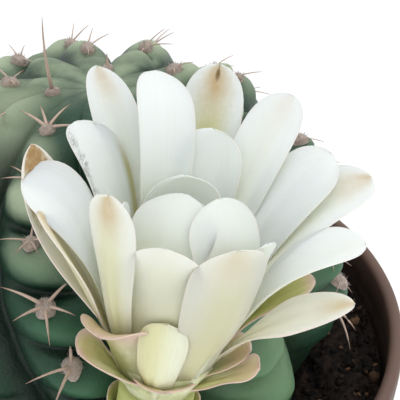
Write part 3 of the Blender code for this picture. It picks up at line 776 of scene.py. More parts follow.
@dataclass
class Plant:
    """Ribbed globe: its skin by formula, with areole wool and spines set along the ribs."""

    centre: Vector = field(default_factory=lambda: Vector((0, 0, 115 * MM)))
    radius: float = 47 * MM
    rise: float = 40 * MM
    drop: float = 50 * MM
    dimple: float = 2.2 * MM
    ribs: int = 10
    rib_depth: float = 0.16
    phase: float = 275
    twist: float = 0.45
    fade_start: float = -10
    fade_end: float = -29
    chin_bulge: float = 2.2 * MM
    chin_notch: float = 3.0 * MM
    groove_depth: float = 0.9 * MM
    groove_width: float = 0.0012
    crease: float = 0.22 * MM
    fine_crease: float = 0.12 * MM
    first_latitude: float = 70
    latitude_step: float = 13.5
    areole_rows: int = 7
    lowest_latitude: float = -15
    wool_length: float = 4.4 * MM
    wool_width: float = 3.4 * MM
    wool_height: float = 1.05 * MM
    spine_length: float = 8.8 * MM
    spine_radius: float = 0.36 * MM
    spine_splay: float = 66
    crown_latitude: float = 80
    crown_azimuths: tuple[float, ...] = (195, 315, 75)
    # Centre in mm of a spot of painted shade on the front of the top.
    painted_shade_spot: tuple[float, float, float] = (-1, -12, 152)
    # Centre in mm of a spot of painted light on the top.
    sunny_spot: tuple[float, float, float] = (-15, -6, 151)
    # Centre in mm of a patch of painted light on the right front side.
    painted_light_spot: tuple[float, float, float] = (34, -32, 114)
    columns: int = 360
    rows: int = 190
    areole_clearance: float = -0.5 * MM
    smooth_azimuths: tuple[float, float] = (295, 330)
    smooth_latitude: float = 30
    upper_latitude: float = 40
    wool_sides: int = 16
    wool_hairs: int = 46
    hair_radius: float = 0.07 * MM
    spine_steps: int = 9
    spine_sides: int = 7
    spine_clearance: float = 3.5 * MM
    bare_right: float = 26 * MM
    bare_left: float = 4 * MM
    shoulder_latitude: float = 60
    shoulder_azimuths: tuple[float, float] = (225, 260)
    right_side: float = 30 * MM
    back_latitude: float = 20
    lowest_tip: float = 92 * MM
    crown_lean: float = 0.16
    tall_crown: float = 15 * MM
    short_crown: float = 3 * MM

    def relief(self, odd: np.ndarray, latitude: np.ndarray) -> np.ndarray:
        """Gives the height of a rib's crest.

        Args:
            odd: 1 on every second rib, whose areoles sit half a step lower, or else 0.
            latitude: Latitude in degrees.

        Returns:
            The height in metres: a bulge below each areole and a notch above the next.
        """
        below = (self.first_latitude - latitude) / self.latitude_step - 0.5 * odd
        spot = below - np.floor(below)
        bulge = np.exp(-(((spot - 0.34) / 0.26) ** 2))
        notch = np.exp(-(((spot - 0.79) / 0.12) ** 2))
        return self.chin_bulge * bulge - self.chin_notch * notch

    def skin(self, azimuth: np.ndarray, latitude: np.ndarray, detail: bool = False) -> tuple[np.ndarray, np.ndarray]:
        """Finds points of the skin.

        Args:
            azimuth: Azimuth in degrees.
            latitude: Latitude in degrees.
            detail: Whether the small creases are added.

        Returns:
            The points, and how near each is to a rib's crest, from 0 to 1.
        """
        azimuth, latitude = np.broadcast_arrays(np.asarray(azimuth, float), np.asarray(latitude, float))
        turn = self.ribs * (azimuth - self.phase + self.twist * latitude) / 360
        turned = np.radians(azimuth)
        rib = np.round(turn)
        crest = np.cos(math.pi * (turn - rib))
        fade = smooth_step((latitude - self.fade_end) / (self.fade_start - self.fade_end))
        crown = smooth_step((84 - latitude) / 34)
        out = 1 - self.rib_depth * (1 - crest) * (0.25 + 0.75 * fade)
        swell = self.relief(np.abs(rib) % 2, latitude) * crest**2 * fade * crown
        tilt = np.radians(latitude)
        flat = self.radius * np.cos(tilt) * out + swell * np.cos(tilt)
        dip = self.dimple * smooth_step((latitude - 66) / 24)
        up = latitude > 0
        sag = np.where(up, self.rib_depth * (1 - crest) * 0.55 * crown, 0)
        height = np.where(up, self.rise, self.drop) * np.sin(tilt) * (1 - sag) + swell * np.sin(tilt) - dip
        if detail:
            coarse = polar(flat, turned, height)
            small = self.crease * ripple(coarse, 9 * MM, 4) + self.fine_crease * ripple(coarse, 4 * MM, 9)
            groove = sum(np.exp(-((turn - rib + side) ** 2) / self.groove_width) for side in (-0.5, 0.5))
            small = small * crown - self.groove_depth * groove * fade * crown
            flat = flat + small * np.cos(tilt)
            height = height + small * np.sin(tilt)
        points = polar(flat, turned, height) + np.array(self.centre)
        ridge = (0.5 + 0.5 * np.clip(crest * 2 - 1, -1, 1)) * (0.55 + 0.45 * np.clip(swell / self.chin_bulge, -1, 1))
        return points, ridge + (0.5 - ridge) * 0.85 * smooth_step((latitude - 58) / 22)

    def crest_azimuth(self, rib: int, latitude: float) -> float:
        """Gives the azimuth of a rib's crest at a latitude."""
        return self.phase + 360 / self.ribs * rib - self.twist * latitude

    def areole_latitude(self, rib: int, row: int) -> float:
        """Gives the latitude of an areole; every second rib is half a step lower."""
        return self.first_latitude - self.latitude_step * (row + 0.5 * (rib % 2))

    def stand(self, azimuth: float, latitude: float) -> tuple[Vector, Vector, Vector, Vector]:
        """Finds where a thing stands on the skin.

        Args:
            azimuth: Azimuth in degrees.
            latitude: Latitude in degrees.

        Returns:
            The point, the outward normal, the way down the rib, and the way across it.
        """
        near = self.twist * 2
        here, low, high, left, right = (
            Vector(self.skin(a, b)[0])
            for a, b in (
                (azimuth, latitude),
                (azimuth + near, latitude - 2),
                (azimuth - near, latitude + 2),
                (azimuth - 1, latitude),
                (azimuth + 1, latitude),
            )
        )
        down = low - high
        normal = (right - left).normalized().cross(-down.normalized()).normalized()
        down = (down - normal * down.dot(normal)).normalized()
        return here, normal, down, normal.cross(down).normalized()

    def areoles(self) -> list[tuple[str, float, float]]:
        """Lists the areoles that the flower and the mix leave free: kind, azimuth and latitude."""
        found = []
        for rib in range(self.ribs):
            for row in range(self.areole_rows):
                latitude = self.areole_latitude(rib, row)
                azimuth = self.crest_azimuth(rib, latitude)
                start, stop = self.smooth_azimuths
                smooth = start < azimuth < stop and latitude < self.smooth_latitude
                hidden = smooth or FLOWER.near(self.stand(azimuth, latitude)[0], self.areole_clearance)
                if latitude > self.lowest_latitude and not hidden:
                    found.append(("rib", azimuth, latitude))
        return found + [("crown", azimuth, self.crown_latitude) for azimuth in self.crown_azimuths]

    def build(self) -> None:
        """Builds the skin, the wool and the spines."""
        self.build_skin()
        self.build_wool()
        self.build_spines()

    def close_to(self, points: np.ndarray, spot: tuple[float, float, float], size: float) -> np.ndarray:
        """Gives 1 at a spot, and less with the distance from it."""
        away = np.linalg.norm(points - np.array(spot) * MM, axis=-1)
        return np.exp(-((away / size) ** 2))

    def build_skin(self) -> None:
        """Builds the globe's skin."""
        latitude = np.linspace(-48, 89.6, self.rows)[:, None]
        column = np.arange(self.columns)[None, :] * 360 / self.columns
        azimuth = column + self.phase - self.twist * latitude
        points, crest = self.skin(azimuth, latitude, detail=True)
        height = np.broadcast_to(np.clip((points[..., 2] - 95 * MM) / (60 * MM), 0, 1), crest.shape)
        draft = Draft()
        draft.rings(
            points,
            crest=crest,
            height=height,
            # Mask of the spot of painted shade.
            young=self.close_to(points, self.painted_shade_spot, 8.5 * MM),
            # Mask of the spot of painted light on the top.
            sunny=self.close_to(points, self.sunny_spot, 9 * MM),
            # Mask of the patch of painted light on the side.
            fresh=self.close_to(points, self.painted_light_spot, 15 * MM),
        )
        draft.build("cactus_skin", "cactus_body", "skin", SkinFinish().make())

    def build_wool(self) -> None:
        """Builds a felted cushion with short stray hairs on every areole."""
        draft = Draft()
        chance = random.Random(21)
        for kind, azimuth, latitude in self.areoles():
            here, normal, down, across = (np.array(v) for v in self.stand(azimuth, latitude))
            grow = 0.68 if kind == "crown" else 0.8 if latitude > self.upper_latitude else 1.0
            turns = round_turns(self.wool_sides)
            rings = []
            for level in np.linspace(0, 1, 7):
                size = math.cos(level * 1.35) ** 0.7 * grow
                lift = -0.4 + 1.4 * math.sin(level * math.pi / 2)
                wobble = 1 + 0.12 * np.sin(turns * 3 + chance.uniform(0, 6)) * (1 - level)
                ring = np.outer(np.cos(turns) * wobble * self.wool_width / 2 * size, across)
                ring -= np.outer(np.sin(turns) * wobble * self.wool_length / 2 * size, down)
                rings.append(here + ring + normal * self.wool_height * lift)
            draft.rings(np.array(rings))
            for _ in range(self.wool_hairs):
                spin, far = chance.uniform(0, math.tau), math.sqrt(chance.random())
                flat = across * math.cos(spin) * self.wool_width / 2 - down * math.sin(spin) * self.wool_length / 2
                root = here + flat * far * grow + normal * self.wool_height * (0.9 - 0.8 * far**2)
                lean = unit(normal + unit(flat) * (0.3 + far) + np.array([chance.gauss(0, 0.35) for _ in range(3)]))
                side = unit(np.cross(lean, [0.3, 0.5, 0.8]))
                other = np.cross(lean, side)
                size, length = self.hair_radius, chance.uniform(0.5, 1.2) * MM
                foot = [root + (side * math.cos(t) + other * math.sin(t)) * size for t in (0, 2.1, 4.2)]
                draft.add(np.array([*foot, root + lean * length]), [(0, 1, 3), (1, 2, 3), (2, 0, 3)])
        draft.build("areole_wool", "cactus_body", "skin", WoolFinish().make())

    def spine(self, draft: Draft, root: Vector, way: Vector, fall: Vector, length: float, size: float) -> None:
        """Adds one curved, tapering spine.

        Args:
            draft: The draft that takes it.
            root: Its foot.
            way: Its first direction.
            fall: The direction that it bends to.
            length: Its length.
            size: Its radius at the foot.
        """
        rings = []
        for share in np.linspace(0, 1, self.spine_steps).tolist():
            heading = (way + fall * share * 0.55).normalized()
            centre = root + (way * share + fall * share * share * 0.28) * length - way * 0.8 * MM * (1 - share)
            side = heading.orthogonal().normalized()
            other = heading.cross(side)
            swell = 1.25 if share < 0.1 else 1.0
            now = size * swell * (1 - share) ** 0.75 + 0.03 * MM
            ways = [side * math.cos(t) + other * math.sin(t) for t in round_turns(self.spine_sides)]
            rings.append([list(centre + out * now) for out in ways])
        along = np.repeat(np.linspace(0, 1, self.spine_steps), self.spine_sides)
        draft.rings(np.array(rings), along=along)

    def build_spines(self) -> None:
        """Sets five or six spines on every areole, and the upright ones on the crown."""
        draft = Draft()
        chance = random.Random(7)
        for kind, azimuth, latitude in self.areoles():
            here, normal, down, across = self.stand(azimuth, latitude)
            root = here + normal * self.wool_height * 0.5
            if kind == "crown":
                upright = Vector((0, 0, 1))
                way = (upright * math.cos(self.crown_lean) + down * math.sin(self.crown_lean)).normalized()
                length = self.tall_crown if azimuth == self.crown_azimuths[0] else self.short_crown
                self.spine(draft, root, way, -down * 0.4, length, self.spine_radius)
                continue
            headings = [90, 200, 240, 300, 340] if chance.random() < 0.5 else [30, 150, 212, 270, 328]
            fine = 0.62 if latitude > self.upper_latitude else 1.0
            if FLOWER.near(root, self.bare_right if root.x > FLOWER.origin.x else self.bare_left):
                continue
            start, stop = self.shoulder_azimuths
            if latitude > self.shoulder_latitude and start < azimuth < stop:
                fine, headings = 1.0, [25, 80, 130, 165]
            elif latitude > 0 and (root.x > self.right_side or azimuth % 360 < 60):
                fine, headings = 0.4, headings[1:3]
            elif root.y > self.centre[1] and latitude > self.back_latitude:
                fine, headings = 0.5, headings[:3]
            for heading in headings:
                turn = math.radians(heading + chance.uniform(-12, 12))
                splay = math.radians(self.spine_splay + chance.uniform(-12, 8))
                flat = across * math.cos(turn) - down * math.sin(turn)
                way = (normal * math.cos(splay) + flat * math.sin(splay)).normalized()
                length = self.spine_length * chance.uniform(0.72, 1.08) * (0.4 + 0.6 * fine)
                tip = root + way * length
                crowded = any(FLOWER.near(spot, self.spine_clearance) for spot in (tip, (tip + root) / 2))
                if tip.z > self.lowest_tip and not crowded:
                    size = self.spine_radius * fine * chance.uniform(0.85, 1.1)
                    self.spine(draft, root, way, -normal, length, size)
        draft.build("spines", "cactus_body", "skin", SpineFinish().make())


class TipShape(Enum):
    """How a petal or a scale ends: where it is widest, and how bluntly it closes from there."""

    ROUND = (0.8, 2.6)
    POINTED = (0.7, 1.9)
    NOTCHED = (0.8, 2.9)


@dataclass(frozen=True)
class Blade:
    """One petal or scale: its place round the flower's axis, its curve, outline and tints."""

    azimuth: float
    reach: float
    rise: float
    width: float
    tip_lean: float
    cupping: float
    roll: float
    root: float
    tip: TipShape = TipShape.ROUND
    blush: float = 0.0
    olive: float = 0.0
    rim: float = 0.25
    curl: float = 0.0
    foot: float = 0.32
    waist: float = 0.0
    tan: float = 0.0
    shadow: float = 0.0
    base_lean: float = 24.0
    rows: int = 34
    columns: int = 15
    wave: float = 0.3
    fold: float = 0.1
    keel: float = 0.35
    notch: float = 1.3
    thickness: float = 0.75
    thinnest: float = 0.16

    def half_width(self, share: np.ndarray) -> np.ndarray:
        """Gives the half-width along the blade as a share of its greatest."""
        widest, power = self.tip.value
        rising = self.foot + (1 - self.foot) * smooth_step((share - self.waist) / (widest - self.waist)) ** 1.15
        past = np.clip((share - widest) / (1 - widest), 0, 1)
        ending = np.sqrt(np.clip(1 - past**power, 0, 1))
        if self.tip is TipShape.POINTED:
            ending = ending**1.15
        return np.maximum(np.where(share < widest, rising, ending), 0.05)

    def midrib(self, share: np.ndarray, flower: "Flower") -> tuple[np.ndarray, np.ndarray]:
        """Gives points along the midrib, and their distance from the axis."""
        start = np.array([flower.root_radius(self.root * MM), self.root * MM])
        end = np.array([self.reach, self.rise]) * MM
        span = np.linalg.norm(end - start)
        low, high = math.radians(self.base_lean), math.radians(self.tip_lean)
        first = start + span * 0.36 * np.array([math.sin(low), math.cos(low)])
        second = end - span * 0.34 * np.array([math.sin(high), math.cos(high)])
        s = np.asarray(share)[:, None]
        line = bezier(s, start, first, second, end)
        return flower.points(line[:, 0], self.azimuth, line[:, 1]), np.maximum(line[:, 0], 3 * MM)

    def frame(self, share: np.ndarray, flower: "Flower") -> tuple[np.ndarray, ...]:
        """Gives the midrib, the ways along, across and inwards, and the radius of the cupping."""
        centre, radius = self.midrib(share, flower)
        step = 0.01
        along = unit(self.midrib(share + step, flower)[0] - self.midrib(share - step, flower)[0])
        side = flower.points(np.array([1.0]), self.azimuth + 90, np.array([0.0]))[0] - np.array(flower.origin)
        side = np.broadcast_to(unit(side), along.shape)
        lift = unit(np.cross(along, side))
        turn = np.radians(self.roll) * share[:, None]
        side = side * np.cos(turn) + lift * np.sin(turn)
        bend = np.maximum(radius * self.cupping, self.width * MM * 0.55)[:, None]
        return centre, along, side, unit(np.cross(along, side)), bend

    def add_to(self, draft: Draft, flower: "Flower", number: int) -> None:
        """Adds the blade to a draft.

        Args:
            draft: The draft that takes it.
            flower: The flower that it grows in.
            number: Its number, which picks its own small waves.
        """
        chance = random.Random(number * 7 + 3)
        share = np.sin(np.linspace(0, math.pi / 2, self.rows)) ** 1.15
        share[-1] = 1.0
        across = np.sin(np.linspace(-math.pi / 2, math.pi / 2, self.columns))
        centre, along, side, lift, bend = self.frame(share, flower)
        angle = across[None, :] * self.width * MM / 2 * self.half_width(share)[:, None] / bend
        length = np.linalg.norm(centre[-1] - centre[0])
        phase = chance.uniform(0, math.tau)
        wide, far = across[None, :], share[:, None]
        wave = self.wave * MM * wide**2 * np.sin(far * 9 + phase + wide * 2)
        folds = self.fold * MM * np.cos(wide * 9 + phase) * np.sin(far * math.pi)
        keel = -self.keel * MM * np.exp(-((wide / 0.16) ** 2)) * (1 - far) ** 0.7
        early = 0.14 if self.curl < 0 else 0.0
        hood = self.curl * MM * smooth_step((far - 0.72 + early * wide**2) / 0.28) ** 2
        raised = bend * (1 - np.cos(angle)) + wave + folds + keel + hood * (1 - 0.4 * wide**2)
        middle = centre[:, None] + side[:, None] * (bend * np.sin(angle))[..., None]
        middle = middle + lift[:, None] * raised[..., None]
        tip_zone = smooth_step((share - 0.8) / 0.2)[:, None]
        end = np.zeros_like(across)
        if self.tip is TipShape.NOTCHED:
            end = -self.notch * np.exp(-((across / 0.14) ** 2))
        middle = middle + along[:, None] * (tip_zone * end[None, :])[..., None] * MM
        across_way = np.gradient(middle, axis=1)
        along_way = np.gradient(middle, axis=0)
        normal = unit(np.cross(along_way, across_way))
        normal *= np.sign((normal * lift[:, None]).sum(-1, keepdims=True))
        thick = (self.thickness - 0.4 * far) * (1 - 0.72 * wide**2) * MM
        thick = np.maximum(thick, self.thinnest * MM)[..., None]
        inner, outer = middle + normal * thick / 2, middle - normal * thick / 2
        loop = np.concatenate([inner, outer[:, ::-1]], 1)
        if np.dot(np.cross(loop[1, 1] - loop[1, 0], loop[2, 0] - loop[1, 0]), normal[1, 0]) < 0:
            loop = loop[:, ::-1]
            outside = np.concatenate([np.ones_like(across), np.zeros_like(across)])
        else:
            outside = np.concatenate([np.zeros_like(across), np.ones_like(across)])
        spread = np.concatenate([across, across[::-1]])
        rows = np.ones((self.rows, 1))
        draft.rings(
            loop,
            along=share[:, None] * np.ones((1, 2 * self.columns)),
            across=rows * spread[None, :],
            outside=rows * outside[None, :],
            blush=self.blush,
            olive=self.olive,
            rim=self.rim,
            tan=self.tan,
            shadow=self.shadow,
            seed=float(number) * 3.7 + length,
        )


ROUND, POINTED, NOTCHED = TipShape.ROUND, TipShape.POINTED, TipShape.NOTCHED


@dataclass
class Flower:
    """The flower: tube with scales, cup, three layers of petals, stamens and pistil."""

    origin: Vector = field(default_factory=lambda: Vector((12.4, -51.2, 128.0)) * MM)
    axis: Vector = field(default_factory=lambda: Vector((0.158, 0.081, 0.984)).normalized())
    tube_foot: float = 4.2 * MM
    tube_top: float = 6.0 * MM
    socket_depth: float = 1.7 * MM
    cup_foot: float = 5.2 * MM
    cup_flare: float = 0.46
    cup_height: float = 7 * MM
    cup_sides: int = 72
    cup_gap: float = 0.3 * MM
    blade: float = 0.7 * MM
    seat_rib: int = 0
    seat_row: int = 6
    tube_rise: float = 9 * MM
    tube_lead: float = 15 * MM
    near_flare: float = 0.62
    near_low: float = 6 * MM
    near_high: float = 45 * MM
    throat: float = 2.2 * MM
    filament_radius: float = 0.16 * MM
    ring_radii: tuple[float, ...] = (3.7, 3.7, 3.5, 2.6, 2.4, 2.4)
    ring_heights: tuple[float, ...] = (2.2, 3.9, 4.2, 4.2, 3.9, 2.2)
    stamens: int = 72
    style_height: float = 19 * MM
    stigma_lobes: int = 8
    outer: tuple[Blade, ...] = (
        Blade(83.5, 25.6, 44.9, 10.2, 8, 1.5, 2, 2, NOTCHED, blush=1.2, olive=1.0),
        Blade(121.5, 31.2, 41, 8.3, 64, 1.55, 0, 2, blush=0.75, olive=0.15),
        Blade(26, 31.4, 34.9, 11, 74, 0.9, 4, 2, shadow=1.0, blush=0.95, olive=0.3),
        Blade(169.5, 24.2, 37.1, 11, 12, 0.9, -24, 2, POINTED, blush=1.9, tan=0.4, rim=1.0),
        Blade(195, 21.8, 32.2, 7.6, 34, 0.8, 0, 2, POINTED, blush=1.0, olive=0.3, rim=1.0, tan=0.75),
        Blade(223, 16, 39.5, 8.2, 8, 0.8, 12, 2, blush=1.1, olive=0.5, tan=0.16),
        Blade(340.5, 26.8, 25.7, 7.4, 68, 1.15, 30, 2.5, POINTED, blush=0.9, tan=0.4, rim=0.8, curl=0.8,
              foot=0.2, waist=0.34),
    )
    middle: tuple[Blade, ...] = (
        Blade(80, 16.5, 38, 11.5, 20, 1.0, 15, 4.5),
        Blade(108.5, 22, 44.2, 10.3, 72, 0.85, 12, 4),
        Blade(138, 24.5, 35.8, 10.6, 72, 0.85, 8, 4.5, shadow=-1.0),
        Blade(57.5, 27.8, 42.3, 9.2, 60, 1.45, 7, 4, blush=0.35, olive=0.2),
        Blade(35.5, 26.8, 36.9, 10.2, 60, 1.3, 16, 4, shadow=1.0),
        Blade(355.5, 26.2, 32, 12.4, 72, 0.8, -8, 3.5, blush=0.15),
        Blade(176.5, 24.3, 33.2, 12.4, 78, 1.3, -14, 3.5),
        # The tan of the next two front petals is partly their own colour, partly painted shade on faces turned from
        # the light.
        Blade(302, 12.9, 33.7, 13.5, -6, 0.95, -7, 3, tan=0.3, foot=0.5, blush=0.5, olive=0.45),
        Blade(256, 14.0, 34.4, 12.8, 30, 1.7, 4, 3, POINTED, tan=0.22, foot=0.75, curl=-0.4, olive=0.2),
    )
    inner: tuple[Blade, ...] = (
        Blade(94, 9.2, 33, 13, -20, 1.1, 10, 5),
        Blade(249, 2.8, 36.5, 13, -67, 2.6, -5, 5, foot=0.2, waist=0.35, base_lean=11),
        Blade(310.5, 5.3, 37.3, 12.4, -52, 1.9, -2, 5),
        Blade(181, 9.5, 31.5, 11, 10, 0.95, 5, 5),
        Blade(331, 13, 32.5, 8.7, 15, 1.0, -20, 5),
    )
    green: tuple[Blade, ...] = (
        Blade(5, 21, 22.4, 5.8, 64, 0.9, 10, 2, blush=0.25, rim=1.0, olive=1.0),
        Blade(226, 14.8, 15.9, 12.5, 92, 0.8, 22, 2, blush=1.5, rim=1.0, base_lean=42, foot=0.5),
        Blade(264.5, 11.6, 19.8, 7.6, -4, 0.62, 3, 1.5, olive=-0.6, rim=0.15, base_lean=42, curl=1.0, foot=0.55),
        Blade(350, 13.2, 10.6, 9.5, 58, 0.8, 0, 1.5, olive=-0.8, blush=1.6, rim=0.8, base_lean=42, foot=0.55),
        Blade(214, 15.2, 10.6, 12, 66, 1.2, -6, 1.5, POINTED, olive=0.1, blush=0.5, rim=1.0, base_lean=42, foot=0.7),
        Blade(335, 15.6, 11, 6.8, 45, 0.85, 10, 1.2, olive=-0.2, blush=0.9, rim=1.0, base_lean=42, foot=0.6),
        Blade(272.5, 10.6, 7.2, 10, 66, 0.9, 4, 1.5, blush=1.0, rim=1.0, base_lean=42, foot=0.8),
    )
    scales: tuple[Blade, ...] = (
        Blade(160, 7.6, -3.5, 6.0, 20, 0.9, 0, -10, olive=0.6, blush=0.3, rim=0.6, base_lean=48),
        Blade(20, 7.6, -3.0, 6.0, 20, 0.9, 0, -9.5, olive=0.6, blush=0.3, rim=0.6, base_lean=48),
        Blade(285, 7.5, -6.5, 6.0, 15, 0.9, 0, -13, olive=0.8, blush=0.2, rim=0.3, base_lean=48),
    )

    def points(self, radius: np.ndarray, azimuth: np.ndarray | float, height: np.ndarray) -> np.ndarray:
        """Finds points from their distance from the axis, azimuth in degrees and height above the cup's foot."""
        right = (Vector((1, 0, 0)) - self.axis * self.axis.x).normalized()
        back = np.array(self.axis.cross(right))
        right, axis = np.array(right), np.array(self.axis)
        radius, azimuth, height = np.broadcast_arrays(radius, np.radians(azimuth), height)
        out = np.cos(azimuth)[..., None] * right + np.sin(azimuth)[..., None] * back
        return np.array(self.origin) + radius[..., None] * out + height[..., None] * axis

    def root_radius(self, height: float) -> float:
        """Gives the distance from the axis at which a petal or a scale starts."""
        if height < 0:
            return self.tube_top - 1.2 * self.blade
        return self.cup_foot - 1.3 * self.blade + self.cup_flare * height

    def tube_path(self, share: float) -> Vector:
        """Gives the tube's centre, from its seat in the plant at 0 to the cup at 1."""
        latitude = PLANT.areole_latitude(self.seat_rib, self.seat_row)
        skin, normal, _, _ = PLANT.stand(PLANT.crest_azimuth(self.seat_rib, latitude), latitude)
        start = skin - normal * self.socket_depth
        first, second = start + normal * self.tube_rise, self.origin - self.axis * self.tube_lead
        return bezier(share, start, first, second, self.origin)

    def near(self, point: Vector, clearance: float) -> bool:
        """Tells whether a point lies within clearance of the tube or the flower."""
        if any((point - spot).length < self.tube_top + clearance for spot in self.tube_spots()):
            return True
        height = (point - self.origin).dot(self.axis)
        away = (point - self.origin - self.axis * height).length
        within = self.cup_foot + self.near_flare * max(height, self.near_low) + clearance
        return -self.near_low < height < self.near_high and away < within

    def tube_spots(self) -> list[Vector]:
        """Lists points along the tube, worked out once."""
        if not hasattr(self, "_spots"):
            self._spots = [self.tube_path(step / 12) for step in range(13)]
        return self._spots

    def build(self) -> None:
        """Builds the flower's pieces."""
        petal, scale = PetalFinish().make(), ScaleFinish().make()
        self.build_tube(scale)
        self.build_blades("tube_scales", "flower_tube", "tube", self.scales, 200, scale)
        self.build_blades("green_petal", "perianth", "petal", self.green, 300, scale)
        self.build_blades("outer_petals", "perianth", "petal", self.outer, 0, petal)
        self.build_blades("middle_petals", "perianth", "petal", self.middle, 50, petal)
        self.build_blades("inner_petals", "perianth", "petal", self.inner, 100, petal)
        self.build_cup(scale)
        self.build_stamens()
        self.build_pistil()

    def build_blades(
        self, name: str, node: str, slot: str, blades: Iterable[Blade], first: int, finish: bpy.types.Material
    ) -> None:
        """Builds one layer of petals or scales.

        Args:
            name: The piece's name.
            node: The node that it stands for.
            slot: The record's material slot.
            blades: The layer's blades.
            first: Number of the first blade.
            finish: The layer's material.
        """
        draft = Draft()
        for number, blade in enumerate(blades, first):
            blade.add_to(draft, self, number)
        draft.build(name, node, slot, finish)

    def build_tube(self, finish: bpy.types.Material) -> None:
        """Builds the green tube, with soft ridges that run up to the scales."""
        rings, sides = 40, 64
        shares = np.linspace(0, 1, rings)
        centres = [self.tube_path(float(s)) for s in shares]
        turns = round_turns(sides)
        grid = []
        for index, centre in enumerate(centres):
            way = (centres[min(index + 1, rings - 1)] - centres[max(index - 1, 0)]).normalized()
            side = (Vector((1, 0, 0)) - way * way.x).normalized()
            other = way.cross(side)
            thicken = smooth_step(1.2 * shares[index])
            radius = self.tube_foot + (self.tube_top - self.tube_foot) * thicken
            ridges = radius + 0.16 * MM * np.sin(turns * 7 + shares[index] * 3)
            ring = np.outer(ridges * np.cos(turns), side) + np.outer(ridges * np.sin(turns), other)
            grid.append(np.array(centre) + ring)
        draft = Draft()
        draft.rings(np.array(grid), along=0.0, across=0.0, olive=0.8, seed=np.repeat(shares, sides))
        draft.build("tube_green", "flower_tube", "tube", finish)

    def build_cup(self, finish: bpy.types.Material) -> None:
        """Builds the cup that carries the petals, open above."""
        profile = [(0.3, 0.0), (1.0, 0.0), (1.0, 1.0), (0.9, 1.03), (0.8, 1.0), (0.75, 0.24), (0.1, 0.24)]
        turns = np.arange(self.cup_sides) * (360 / self.cup_sides)
        rings = []
        for out, up in profile:
            height = self.cup_gap + up * (self.cup_height - self.cup_gap)
            radius = out * (self.cup_foot + self.cup_flare * height)
            rings.append(self.points(np.array(radius), turns, np.array(height)))
        draft = Draft()
        draft.rings(np.array(rings), along=0.1, across=0.3, outside=0.0, seed=0.5)
        draft.build("petal_cup", "perianth", "petal", finish)

    @staticmethod
    def rod(draft: Draft, centres: np.ndarray, radii: np.ndarray, sides: int, **values: np.ndarray | float) -> None:
        """Adds a round rod along points, with a radius at each.

        Args:
            draft: The draft that takes it.
            centres: Points along the rod.
            radii: Radius at each point.
            sides: Number of sides.
            **values: Values of its points.
        """
        way = unit(np.gradient(centres, axis=0))
        side = unit(np.cross(way, np.array([0.3, 0.9, 0.1])))
        other = np.cross(way, side)
        turns = round_turns(sides)
        circle = np.cos(turns)[None, :, None] * side[:, None] + np.sin(turns)[None, :, None] * other[:, None]
        draft.rings(centres[:, None] + circle * radii[:, None, None], **values)

    def build_stamens(self) -> None:
        """Builds the filaments with their two-lobed anthers, on the throat's ring."""
        draft = Draft()
        chance = random.Random(5)
        for number in range(self.stamens):
            azimuth = 360 * number / self.stamens + chance.uniform(-4, 4)
            low = (2.4 + 1.2 * chance.random()) * MM
            top = chance.uniform(10.5, 17) * MM
            out = (2.9 + 2.0 * chance.random()) * MM
            share = np.linspace(0, 1, 8)
            radius = low + (out - low) * share**1.6
            height = self.throat + (top - self.throat) * share
            line = self.points(radius, azimuth + 10 * share**2 * chance.uniform(-1, 1), height)
            self.rod(draft, line, np.full(8, self.filament_radius), 6, anther=0.0)
            way = unit(line[-1] - line[-3] + np.array([chance.gauss(0, 1) for _ in range(3)]) * 0.6 * MM)
            beads = line[-1] + way * np.linspace(-0.9, 0.9, 6)[:, None] * MM
            girth = np.array([0.12, 0.42, 0.5, 0.46, 0.4, 0.1]) * MM
            self.rod(draft, beads, girth, 9, anther=1.0)
        ring = self.points(
            np.array(self.ring_radii)[:, None] * MM,
            np.arange(48)[None, :] * 7.5,
            np.array(self.ring_heights)[:, None] * MM,
        )
        draft.rings(ring, anther=0.0)
        draft.build("stamen_ring", "stamens", "stamen", PowderFinish().make())

    def build_pistil(self) -> None:
        """Builds the style and its spreading stigma lobes."""
        draft = Draft()
        share = np.linspace(0, 1, 12)
        line = self.points(np.zeros(12), 0.0, self.throat + (self.style_height - self.throat) * share)
        self.rod(draft, line, (0.95 - 0.15 * share) * MM, 20, along=0.0)
        for lobe in range(self.stigma_lobes):
            share = np.linspace(0, 1, 8)
            radius = (0.25 + 1.75 * share**1.3) * MM
            height = self.style_height + (-0.6 + 3.8 * share) * MM
            line = self.points(radius, 360 * lobe / self.stigma_lobes, height)
            self.rod(draft, line, (0.46 * np.sin(0.5 + 2.5 * share) + 0.06) * MM, 8, along=1.0)
        draft.build("style_and_stigma", "pistil", "style", StyleFinish().make())


@dataclass
class Dew:
    """Small drops of water along the left edge of one petal."""

    drops: int = 64

    def build(self, flower: Flower) -> None:
        """Sets the drops on the petal's edge.

        Args:
            flower: The flower that they sit on.
        """
        petal = flower.middle[2]
        chance = random.Random(3)
        draft = Draft()
        shares = np.array([chance.uniform(0.5, 0.96) for _ in range(self.drops)])
        centre, _, side, lift, bend = petal.frame(shares, flower)
        wide = petal.half_width(shares) * petal.width * MM / 2
        for index in range(self.drops):
            angle = wide[index] * chance.uniform(0.72, 0.98) / bend[index]
            spot = centre[index] + bend[index] * (side[index] * np.sin(angle) + lift[index] * (1 - np.cos(angle)))
            spot = spot + lift[index] * 0.25 * MM
            size = chance.uniform(0.16, 0.34) * MM
            tilt = np.linspace(-1.4, 1.4, 7)
            ball = polar(np.cos(tilt)[:, None], round_turns(10), np.sin(tilt)[:, None])
            draft.rings(spot + ball * size)
        draft.build("dew", "perianth", "petal", DewFinish().make())


